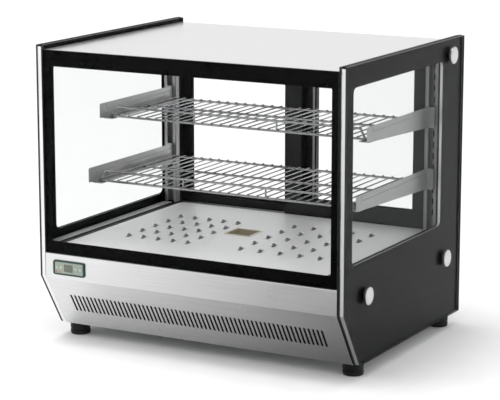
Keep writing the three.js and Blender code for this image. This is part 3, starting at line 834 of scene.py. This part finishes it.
low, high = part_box("deck")
slot_spots = []
for x0, dx, y0, dy in FIELDS:
    for c in range(COLUMNS):
        for r in range(ROWS):
            slot_spots.append((x0 + c * dx, y0 + r * dy))
cup_low, cup_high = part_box("water_cup")
cup_centre = (cup_low + cup_high) / 2
cup_half = (cup_high.x - cup_low.x) / 2 - 4 * MM
reach = cup_half + 0.3 * MM
openings = [slit(x, y) for x, y in slot_spots]
cup_x, cup_y = cup_centre.x, cup_centre.y
openings.append(rectangle(cup_x - reach, cup_x + reach, cup_y - reach, cup_y + reach, 4 * MM))
outline = rectangle(low.x, high.x, low.y, high.y, 2 * MM)
deck_parts = [plate(outline, openings, "z", high.z - 1.5 * MM, high.z, 0.6 * MM)]
for x, y in slot_spots:
    deck_parts.append(hood(x, y, high.z - 0.3 * MM))
skirt_z = (low.z, high.z - 0.8 * MM)
for y in (low.y, high.y - SKIRT):
    deck_parts.append(block((low.x, high.x), (y, y + SKIRT), skirt_z, 0.3 * MM))
for x in (low.x, high.x - SKIRT):
    deck_parts.append(block((x, x + SKIRT), (low.y, high.y), skirt_z, 0.3 * MM))
deck = join_meshes(*deck_parts)
finish_piece("deck_plate", deck, deck_steel, "deck_plate", "brushed_steel", "deck", smooth=35)
print("deck has", len(slot_spots), "openings")

# %% [markdown]
# The cup is drawn from one square blank: a flat rim, a wall with round corners and a floor with a soft
# fold. Lofting through rounded squares, out along the rim and down inside, gives the rim its thickness
# too.

# %% Water cup and plug
z0, z1 = cup_low.z / MM, cup_high.z / MM
outer = (cup_high.x - cup_low.x) / 2 - 0.2 * MM
wall, middle = (outer - cup_half) / MM, outer / MM - 3
outside = [(middle, z0), (wall + 4, z0), (wall + 1.2, z0 + 1.2), (wall, z0 + 4), (wall, z1 - 1)]
rim = [(0.2, z1 - 1), (0, z1 - 0.6), (0.2, z1 - 0.1), (0.5, z1), (wall, z1)]
bowl = [(wall + 0.9, z1 - 0.8), (wall + 1, z0 + 4.5), (wall + 2, z0 + 1.9), (wall + 4.5, z0 + 1)]
levels = in_mm([*outside, *rim, *bowl, (middle, z0 + 1)])
cup = folded_tray((cup_x - outer, cup_x + outer), (cup_y - outer, cup_y + outer), levels, 6 * MM)
finish_piece("humidity_cup", cup, cup_steel, "humidity_cup", "brushed_steel", "water_cup", smooth=35)

low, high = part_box("cup_plug")
rise = (high.z - low.z) / MM / 10  # the profile is drawn 10 high
flange = [(8.4, 0), (9, 0.5), (9, 2.6), (8.5, 3.1), (5.4, 3.6)]
stem = [(5, 4.2), (5, 8.6), (4.4, 9.4), (3, 9.8), (1, 10)]
place = Matrix.Translation(((low.x + high.x) / 2, (low.y + high.y) / 2, low.z))
plug = turned(in_mm([(r, z * rise) for r, z in flange + stem]), place, 32)
# pale plug: its own colour and partly a painted highlight for the cup
finish_piece("cup_drain_plug", plug, plug_pale_painted_highlight, "humidity_cup", "black_plastic", "cup_plug")
print("cup is", round(2 * cup_half, 3), "m square inside the rim")

# %% [markdown]
# ## Wire shelves
# Thin wires run front to back over three thick ones. At the front each thin wire turns down over the
# thick wire, at the back it stops just past it, and a guard rail stands on short struts above the front.
# Every wire is swept along its own path with domed ends, as cut and deburred wire has, and small weld
# beads sit where the wires cross.


# %% Wire shelf
THICK, THIN, GUARD, STRUT = 2.5 * MM, 1.5 * MM, 2.5 * MM, 2 * MM  # radii of the wires
THIN_WIRES = 28


def weld_bead(centre, radius):
    place = Matrix.Translation(centre)
    turns = (0.15, 0.9, 1.57, 2.25, 3.0)
    profile = [(radius * math.sin(a) + 1e-5, -radius * 0.7 * math.cos(a)) for a in turns]
    return turned(profile, place, 8)


def thin_wire(x, front, rear, z_thick, z_thin):
    """From its nose, bent round the front thick wire, back over the other two."""
    bend = THICK + THIN - 0.4 * MM
    path = [(x, front - bend * math.sin(a), z_thick + bend * math.cos(a)) for a in (1.35, 0.9, 0.45, 0.0)]
    path += [(x, front + 8 * MM, z_thin - 0.3 * MM), (x, rear, z_thin), (x, rear + 2 * MM, z_thin)]
    return wire(path, THIN, 8)


def guard_rail(low, high, front, z_thick, guard_z):
    """The rail turns down in an S at both ends and meets the thick wire below."""
    left_end = []
    for k in range(9):
        share = k / 8
        swing = (1 - math.cos(math.pi * share)) / 2
        x = low.x + 3 * MM + 15 * MM * share
        y = front - 3.2 * MM * math.sin(math.pi * share)
        left_end.append((x, y, z_thick + (guard_z - z_thick) * swing))
    right_end = [(low.x + high.x - x, y, z) for x, y, z in reversed(left_end)]
    return wire([*left_end, *right_end], GUARD, 12)


def build_shelf(level):
    low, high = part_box(f"{level}_shelf")
    front, rear = low.y + 3 * MM, high.y - 3 * MM
    z_thick = low.z + THICK
    z_thin = z_thick + THICK + THIN - 0.7 * MM
    guard_z = high.z - GUARD
    parts = []
    for y in (front, (front + rear) / 2 + 20 * MM, rear):
        parts.append(wire([(low.x + THICK * 0.7, y, z_thick), (high.x - THICK * 0.7, y, z_thick)], THICK, 14))
    for i in range(THIN_WIRES):
        x = low.x + 2 * MM + (high.x - low.x - 4 * MM) * i / (THIN_WIRES - 1)
        parts.append(thin_wire(x, front, rear, z_thick, z_thin))
        for y in (front, rear):
            parts.append(weld_bead((x, y, z_thick + THICK - 0.2 * MM), 2.1 * MM))
    parts.append(guard_rail(low, high, front, z_thick, guard_z))
    for i in (1, 2):
        x = low.x + 13 * MM + (high.x - low.x - 26 * MM) * i / 3
        parts.append(wire([(x, front, z_thick), (x, front, guard_z)], STRUT, 10))
        parts.append(weld_bead((x, front, guard_z - 2 * MM), 2.6 * MM))
    shelf = join_meshes(*parts)
    finish_piece(f"{level}_wire_shelf", shelf, wire_chrome, f"{level}_wire_shelf", "chrome_wire",
                 f"{level}_shelf", smooth=50)


for level in ("upper", "lower"):
    build_shelf(level)
print("two wire shelves built")

# %% [markdown]
# ## Shelf brackets
# A bracket is a tapered blade of sheet with a folded seat for the shelf, a pressed line for stiffness and
# two hooks that drop into the upright's slot. The blade and the seat are plates with eased edges, and the
# pressed line is a half-buried bead along the blade.


# %% Shelf brackets
BLADE = (309.5 * MM, 311 * MM)  # these four are distances from the middle of the case
SEAT = (286 * MM, 310 * MM)
FOOT = (309.5 * MM, 325 * MM)
HOOK = (315.5 * MM, 317.5 * MM)
BRACKET_SHEET, BEAD = 1.5 * MM, 0.9 * MM


def on_side(side, span):
    return sorted((side * span[0], side * span[1]))


def build_bracket(level, name, side):
    node = f"{level}_{name}_bracket"
    low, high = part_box(node)
    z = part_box(f"{level}_shelf")[0].z - 0.3 * MM
    front, back = low.y, high.y - 8 * MM
    taper = rounded([(front, z + 0.5 * MM), (back, low.z), (back, high.z), (front, high.z)], 2.5 * MM, 4)
    seat = rectangle(*on_side(side, SEAT), front + 12 * MM, back - 8 * MM, 2 * MM)
    foot = rectangle(*on_side(side, FOOT), low.z, high.z, 2 * MM)
    parts = [
        plate(taper, [], "x", *on_side(side, BLADE), 0.3 * MM),
        plate(seat, [], "z", z - BRACKET_SHEET, z, 0.3 * MM),
        plate(foot, [], "y", back - BRACKET_SHEET, back, 0.3 * MM),
    ]
    # a pressed line stands proud on both faces of the blade, closed near the front by a short upright line
    line_z = high.z - 10 * MM
    for face in BLADE:
        x = side * face
        corner = (x, front + 26 * MM, line_z - 3 * MM)
        parts.append(wire([corner, (x, back - 10 * MM, line_z)], BEAD, 8))
        parts.append(wire([(x, front + 25 * MM, line_z + 7 * MM), corner], BEAD, 8))
    for foot_z in (z - 6 * MM, z + 16 * MM):
        shape = rectangle(back - 0.5 * MM, high.y, foot_z, foot_z + 9 * MM, 1.5 * MM, 3)
        parts.append(plate(shape, [], "x", *on_side(side, HOOK), 0.25 * MM))
    finish_piece(f"{node}_blade", join_meshes(*parts), bracket_zinc, "case", "galvanised_sheet", node)


for level in ("upper", "lower"):
    for name, side in SIDES.items():
        build_bracket(level, name, side)
print("four shelf brackets built")

# %% [markdown]
# ## Uprights and deck rails
# The uprights are open channels: a back, two sides and two narrow lips, with punched slots down the back
# for the hooks. The rails beside the deck are folded black sections with a pale sill on top.


# %% Uprights
HOOK_PITCH, HOOK_SLOT = 24 * MM, (4 * MM, 14 * MM)


def build_upright(name):
    low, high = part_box(f"{name}_upright")
    middle, half = (low.x + high.x) / 2, HOOK_SLOT[0] / 2
    t = 1.5 * MM
    lip = (high.x - low.x) / 2 - 7 * MM
    slots = []
    z = low.z + 30 * MM
    while z < high.z - 30 * MM:
        slots.append(rectangle(middle - half, middle + half, z, z + HOOK_SLOT[1], 1.8 * MM))
        z += HOOK_PITCH
    back = plate(inside(low, high, 0, 0.5 * MM), slots, "y", high.y - t, high.y, 0.3 * MM)
    height = (low.z, high.z)
    walls = [block((low.x, low.x + t), (low.y, high.y - t), height, 0.3 * MM),
             block((high.x - t, high.x), (low.y, high.y - t), height, 0.3 * MM),
             block((low.x, low.x + lip), (low.y, low.y + t), height, 0.4 * MM),
             block((high.x - lip, high.x), (low.y, low.y + t), height, 0.4 * MM)]
    channel = join_meshes(back, *walls)
    node = f"{name}_upright"
    finish_piece(f"{name}_slotted_upright", channel, upright_zinc, "case", "galvanised_sheet", node)


for name, side in SIDES.items():
    build_upright(name)
    low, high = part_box(f"{name}_deck_rail")
    refined(f"{name}_deck_rail", frame_black, "case", "black_frame", 0.5 * MM)
    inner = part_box(f"{name}_inner_glass")
    face = inner[0].x if side > 0 else inner[1].x
    x = sorted((face - side * 0.3 * MM, face - side * 21 * MM))
    sill = block(x, (low.y, 190 * MM), (high.z, high.z + 0.8 * MM), 0.3 * MM)
    finish_piece(f"{name}_sill_strip", sill, sill_grey, "case", "galvanised_sheet")
print("uprights and deck rails built")

# %% [markdown]
# ## Sliding doors and their tracks
# Each door is a black frame round a clear pane, held by a thin rubber bead. The frame is a plate with a
# window and eased edges. The finger pull is a bar with a scooped grip.


# %% Doors
GLAZING_GAP, BEAD_LAP = 0.3 * MM, 3 * MM
PULL_PROFILE = ((0, 0.3), (0.06, 1), (0.16, 1), (0.3, 0.5), (0.7, 0.5), (0.84, 1), (0.94, 1), (1, 0.3))


def finger_pull(low, high):
    """A bar whose depth follows the profile, scooped in the middle."""
    rings = []
    for share, depth in PULL_PROFILE:
        z = low.z + (high.z - low.z) * share
        y = low.y + (high.y - low.y) * depth
        ring = rectangle(low.x, high.x, low.y, y, min(1.2 * MM, (y - low.y) * 0.4), 3)
        rings.append([(a, b, z) for a, b in ring])
    return skin_rings(rings)


def build_door(name):
    body = f"{name}_door"
    low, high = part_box(f"{body}_frame")
    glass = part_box(f"{body}_glass")
    window = inside(*glass, -GLAZING_GAP, 1 * MM)
    ring = plate(inside(low, high, 0, 1.5 * MM), [window], "y", low.y, high.y, 1.2 * MM)
    finish_piece(f"{body}_frame_skin", ring, frame_black, body, "black_frame", f"{body}_frame")
    edge = inside(*glass, 0, 1 * MM)
    front, back = glass[0].y, glass[1].y
    pane(f"{body}_pane", edge, [], "y", front, back, body, f"{body}_glass", "clear_glass")
    sight = inside(*glass, BEAD_LAP, 2 * MM)
    beads = [plate(edge, [sight], "y", front - 2.2 * MM, front - 0.1 * MM, 0.6 * MM),
             plate(edge, [sight], "y", back + 0.1 * MM, back + 2.2 * MM, 0.6 * MM)]
    finish_piece(f"{body}_glazing_bead", join_meshes(*beads), seal_black, body, "black_rubber")
    pull = finger_pull(*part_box(f"{body}_pull"))
    finish_piece(f"{body}_finger_pull", pull, black_nylon, body, "black_plastic", f"{body}_pull")


for name in SIDES:
    build_door(name)
# the meeting stile of the left door carries a pale draught strip
low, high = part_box("left_door_frame")
strip_x, strip_y = (high.x - 8.5 * MM, high.x - 3.5 * MM), (low.y - 0.7 * MM, low.y + 0.5 * MM)
strip = block(strip_x, strip_y, (low.z + 4 * MM, high.z - 4 * MM), 0.4 * MM)
finish_piece("left_door_draught_strip", strip, bracket_zinc, "left_door", "galvanised_sheet")

refined("bottom_track", track_aluminium, "case", "track_aluminium", 0.4 * MM)
refined("door_surround", frame_black, "case", "black_frame", 0.4 * MM)
print("doors and tracks built")

# %% [markdown]
# ## Controller
# A panel controller sits in the left of the steel front: a dark moulded bezel round a pale face, four
# keys, a smoked display and two small marks. The bezel is lofted through rounded rectangles so that its
# lip rolls over.

# %% Controller bezel, face, display and keys
# the rim of the bezel in millimetres: how far in from the edge and how far out towards the customer
RIM = ((0, 0.0), (0, 1.5), (0.4, 2.7), (1.1, 3.5), (2.0, 3.7), (2.9, 3.2), (3.5, 2.2), (3.55, 0.3))
SIDE_RIM = 1.3  # the rim is this much wider at the two ends
FACE_INSET = 3.6 * MM
KEY_BODIES = {"key_down": "down_key", "key_up": "up_key", "key_set": "set_key", "key_lamp": "lamp_key"}
bezel_low, bezel_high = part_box("thermostat_bezel")
face_y = bezel_high.y
keys = {node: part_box(node) for node in KEY_BODIES}


def build_bezel():
    rings = []
    for inset, out in in_mm(RIM):
        ring = inside(bezel_low, bezel_high, inset, 5 * MM - inset, 5, inset * SIDE_RIM)
        rings.append([(a, face_y - out, b) for a, b in ring])
    bezel = skin_rings(rings)
    finish_piece("controller_bezel", bezel, bezel_green, "case", "control_face", "thermostat_bezel")


def build_face():
    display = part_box("thermostat_display")
    holes = [inside(*box, -0.3 * MM, 1.2 * MM) for box in keys.values()]
    holes.append(inside(*display, 0, 0.6 * MM))
    outline = inside(bezel_low, bezel_high, FACE_INSET, 1.5 * MM, 4, FACE_INSET * SIDE_RIM)
    face = plate(outline, holes, "y", face_y - 2.1 * MM, face_y - 1.3 * MM, 0.15 * MM)
    finish_piece("controller_face", face, face_pale, "case", "control_face")
    outline = inside(*display, 0.2 * MM, 0.5 * MM)
    screen = plate(outline, [], "y", face_y - 1.9 * MM, face_y - 1.2 * MM, 0.15 * MM)
    finish_piece("controller_display", screen, display_smoke, "case", "display_window", "thermostat_display")


def build_key(node, low, high):
    deep = (face_y - low.y) / MM - 1.3
    rings = []
    for shrink, back in ((0, deep), (0.0, 0.6), (0.25, 0.2), (0.8, 0.02), (2.2, 0.25)):
        corner = max(1.1 - shrink * 0.3, 0.3) * MM
        ring = inside(low, high, shrink * MM, corner)
        rings.append([(u, low.y + back * MM, v) for u, v in ring])
    finish_piece(f"{node}_cap", skin_rings(rings), key_grey, KEY_BODIES[node], "key_plastic", node)


def build_lamps():
    profile = in_mm([(1.9, 0), (1.9, 0.5), (1.4, 0.9), (0.2, 1.1)])
    marks = []
    for x in (keys["key_down"][0].x + 2.5 * MM, keys["key_up"][0].x + 1 * MM):
        place = Matrix.Translation((x, face_y - 1.9 * MM, bezel_low.z + 6.8 * MM))
        marks.append(turned(profile, place @ Matrix.Rotation(math.pi / 2, 4, "X"), 16))
    finish_piece("controller_lamps", join_meshes(*marks), mark_red, "case", "switch_red")


build_bezel()
build_face()
for node, box in keys.items():
    build_key(node, *box)
build_lamps()
refined("thermostat_body", black_nylon, "case", "black_plastic", 0.8 * MM)
print("controller built with", len(keys), "keys")

# %% [markdown]
# ## Feet
# Moulded rubber feet, screwed up through a washer. A turned profile gives the flared base, the grip
# groove and the recess for the screw.


# %% Feet
def build_foot(node):
    low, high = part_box(node)
    radius, top = (high.y - low.y) / 2 / MM, high.z / MM
    recess = [(4, 4), (6, 3.6), (7, 0.4), (8, 0)]
    base = [(radius * 0.86, 0), (radius * 0.95, 0.8), (radius * 0.985, 2.5), (radius, 6), (radius, 9)]
    groove = [(radius * 0.94, 10), (radius * 0.94, 12), (radius, 13)]
    shoulder = [(radius, top - 4), (radius * 0.96, top - 1.6), (radius * 0.88, top), (2, top)]
    place = Matrix.Translation(((low.x + high.x) / 2, (low.y + high.y) / 2, low.z))
    rubber = turned(in_mm(recess + base + groove + shoulder), place, 40)
    finish_piece(f"{node}_rubber", rubber, foot_rubber, "case", "black_rubber", node)


for corner in ("front_left", "front_right", "rear_left", "rear_right"):
    build_foot(f"foot_{corner}")
print("four feet built")

# %% [markdown]
# ## Base, heating and light
# These pieces are mostly out of sight, but they show through the slots, through the glass and from
# behind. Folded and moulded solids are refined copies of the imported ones, and everything round is turned
# or swept afresh.

# %% Folded and moulded pieces of the base
for node, finish, slot_name, ease in (
    ("base_pan", duct_zinc, "galvanised_sheet", 0.5),
    ("rear_panel", front_steel, "brushed_steel", 0.35),
    ("air_tray", duct_zinc, "galvanised_sheet", 0.4),
    ("terminal_box", black_nylon, "black_plastic", 1.0),
    ("lamp_housing", track_aluminium, "track_aluminium", 0.3),
    ("lamp_diffuser", lens_white, "lamp_lens", 0.6),
    ("switch_housing", black_nylon, "black_plastic", 0.5),
):
    refined(node, finish, "case", slot_name, ease * MM)
refined("rocker", rocker_red, "power_rocker", "switch_red", 0.7 * MM)
print("base pieces refined")

# %% Heating element, fan and gland
ELEMENT_BEND = 60 * MM
BLADES = 7
BLADE_SECTION = ((-1, 0), (-0.5, 0.8), (0, 1), (0.6, 0.7), (1, 0), (0.5, -0.6), (0, -0.8), (-0.6, -0.6))


def build_element():
    """One tube: in at the right, round two quarter bends and out at the right again."""
    low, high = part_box("heating_element")
    radius, z = (high.z - low.z) / 2, (low.z + high.z) / 2
    bend = ELEMENT_BEND
    path = [(high.x - radius * 0.7, high.y - radius, z)]
    for centre_y, start in ((high.y - radius - bend, 0.0), (low.y + radius + bend, math.pi / 2)):
        for k in range(9):
            a = start + math.pi / 2 * k / 8
            path.append((low.x + radius + bend - bend * math.sin(a), centre_y + bend * math.cos(a), z))
    path.append((high.x - radius * 0.7, low.y + radius, z))
    tube = wire(path, radius * 0.98, 16)
    finish_piece("tubular_element", tube, sheath_tinted, "case", "element_sheath", "heating_element")


def build_shroud():
    low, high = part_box("fan_housing")
    middle, half = (low + high) / 2, (high.x - low.x) / 2
    frame_edge = rectangle(low.x, high.x, low.y, high.y, 6 * MM)
    mouth = circle(middle.x, middle.y, half - 3 * MM, 64)
    shell = plate(frame_edge, [mouth], "z", low.z, high.z, 0.8 * MM)
    profile = in_mm([(18, 0), (18.5, 0.6), (18.5, 3.2), (17, 4), (1, 4)])
    boss = turned(profile, Matrix.Translation((middle.x, middle.y, low.z)), 40)
    long, narrow, z = half - 2 * MM, 3 * MM, (low.z, low.z + 3 * MM)
    spokes = []
    for reach_x, reach_y in ((long, narrow), (narrow, long)):
        x = (middle.x - reach_x, middle.x + reach_x)
        y = (middle.y - reach_y, middle.y + reach_y)
        spokes.append(block(x, y, z, 0.6 * MM))
    shroud = join_meshes(shell, boss, *spokes)
    finish_piece("fan_shroud", shroud, black_nylon, "case", "black_plastic", "fan_housing")
    return middle


def fan_blade(turn):
    """A blade lofted outwards, its section turning flatter and thinner on the way."""
    rings = []
    for share in (0, 0.15, 0.5, 0.85, 1.0):
        radius = (16.5 + 22.5 * share) * MM
        chord, thick = (6.4 + 1.2 * share) * MM, (0.9 - 0.35 * share) * MM
        pitch = 0.85 - 0.25 * share
        c, s = math.cos(pitch), math.sin(pitch)
        ring = []
        for u, v in BLADE_SECTION:
            along, off = u * chord, v * thick + 1.6 * MM * (1 - u * u)
            ring.append(turn @ Vector((radius, along * c - off * s, along * s + off * c)))
        rings.append(ring)
    return skin_rings(rings)


def build_fan_wheel(middle):
    low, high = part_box("fan_rotor")
    top = (high.z - low.z) / MM
    shell = [(17, 0), (18, 1), (18, top - 3), (17.4, top - 1.4), (15.5, top - 0.3), (13, top)]
    dimple = [(4, top), (3.4, top - 0.6), (1, top - 0.6)]
    hub = turned(in_mm(shell + dimple), Matrix.Translation((middle.x, middle.y, low.z)), 40)
    place = Matrix.Translation((middle.x, middle.y, (low.z + high.z) / 2))
    blades = [fan_blade(place @ Matrix.Rotation(i * 2 * math.pi / BLADES, 4, "Z")) for i in range(BLADES)]
    wheel = join_meshes(hub, *blades)
    finish_piece("fan_wheel_blades", wheel, black_nylon, "fan_wheel", "black_plastic", "fan_rotor", smooth=35)


def build_gland():
    low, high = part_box("cable_gland")
    place = Matrix.Translation(((low.x + high.x) / 2, low.y, (low.z + high.z) / 2))
    length = (high.y - low.y) / MM
    # pairs of radius in millimetres and share of the length
    nut = [(5, 0), (8, 0), (8, 0.27), (13.4, 0.27), (14, 0.30), (14, 0.49), (13.4, 0.52)]
    neck = [(11.4, 0.60), (11, 0.64), (9.6, 0.90), (9, 0.98), (7, 1.0), (5.4, 0.98), (5, 0.93)]
    profile = in_mm([(r, share * length) for r, share in nut + neck])
    gland = turned(profile, place @ Matrix.Rotation(-math.pi / 2, 4, "X"), 36, closed=True)
    finish_piece("mains_gland", gland, black_nylon, "case", "black_plastic", "cable_gland")


build_element()
fan_middle = build_shroud()
build_fan_wheel(fan_middle)
build_gland()
print("element, fan and gland built")

# %% [markdown]
# ## Studio
# A plain pale floor runs out of sight under a white sky. A large panel stands in front and to the left, a
# broad lamp hangs overhead so that the shadow stays short, and a weak lamp under the roof lights the
# deck.

# %% Floor, sky and lamps
SKY_STRENGTH = 0.80
SUN_STRENGTH, SUN_WIDTH, SUN_TOWARDS = 1.25, math.radians(30), (0.12, 0.12, -1)


def flat_sheet(name, x, y, material):
    """A flat sheet between two values on x and y, as a mesh object."""
    mesh = bpy.data.meshes.new(name)
    corners = [(x[0], y[0], 0), (x[1], y[0], 0), (x[1], y[1], 0), (x[0], y[1], 0)]
    mesh.from_pydata(corners, [], [(0, 1, 2, 3)])
    mesh.materials.append(material)
    sheet = bpy.data.objects.new(name, mesh)
    bpy.context.scene.collection.objects.link(sheet)
    return sheet


def hang_light(name, data, place, towards):
    lamp = bpy.data.objects.new(name, data)
    lamp.location = place
    lamp.rotation_euler = (Vector(towards) - Vector(place)).to_track_quat("-Z", "Y").to_euler()
    bpy.context.scene.collection.objects.link(lamp)
    return lamp


def panel_light(name, place, towards, size, power):
    data = bpy.data.lights.new(name, "AREA")
    data.shape = "RECTANGLE"
    data.size, data.size_y = size
    data.energy = power
    lamp = hang_light(name, data, place, towards)
    lamp.visible_camera = lamp.visible_glossy = False


floor_paint = coated("floor_paint", (0.93, 0.93, 0.93), (0.95, 0.95, 0.95), 0.8, 3, 0.0001)
floor = flat_sheet("floor", (-30, 30), (-30, 30), floor_paint)

world = bpy.data.worlds.new("studio")
bpy.context.scene.world = world
world.use_nodes = True
sky = world.node_tree.nodes["Background"]
sky.inputs["Color"].default_value = (1, 1, 1, 1)
sky.inputs["Strength"].default_value = SKY_STRENGTH

panel_light("key_panel", (-2.2, -2.2, 2.6), (0, 0, 0.3), (2.0, 2.0), 25)
roof_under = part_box("lamp_diffuser")[0].z - 6 * MM
panel_light("case_lamp", (0, -30 * MM, roof_under), (0, -30 * MM, 0), (0.58, 0.40), 0.9)
overhead = bpy.data.lights.new("overhead", "SUN")
overhead.energy = SUN_STRENGTH
overhead.angle = SUN_WIDTH
hang_light("overhead", overhead, (0, 0, 0), SUN_TOWARDS)
print("floor, sky and lamps ready")

# %% [markdown]
# Polished steel shows whatever is in front of it. A grey card lies on the floor in front of the case
# where only reflections can see it, darker towards the right, so that the steel front shades off to one
# side.

# %% Shade card
CARD_X, CARD_Y, CARD_Z = (-1.6, 1.4), (-2.2, -0.2), 4 * MM
CARD_DIRECTION, CARD_RUN, CARD_GREY = (1, -0.49, 0), (-0.25, 0.42), (0.86, 0.22)


def graded_paint(name):
    material, shader = new_finish(name, (0.5, 0.5, 0.5), 0.9)
    nodes, links = material.node_tree.nodes, material.node_tree.links
    place = nodes.new("ShaderNodeTexCoord")
    slant = nodes.new("ShaderNodeVectorMath")
    slant.operation = "DOT_PRODUCT"
    slant.inputs[1].default_value = CARD_DIRECTION
    ramp = nodes.new("ShaderNodeMapRange")
    ramp.inputs["From Min"].default_value, ramp.inputs["From Max"].default_value = CARD_RUN
    ramp.inputs["To Min"].default_value, ramp.inputs["To Max"].default_value = CARD_GREY
    links.new(place.outputs["Object"], slant.inputs[0])
    links.new(slant.outputs["Value"], ramp.inputs["Value"])
    links.new(ramp.outputs["Result"], shader.inputs["Base Color"])
    return material


card = flat_sheet("shade_card", CARD_X, CARD_Y, graded_paint("card_paint"))
card.location.z = CARD_Z
card.visible_camera = card.visible_diffuse = card.visible_shadow = card.visible_transmission = False
print("shade card laid")
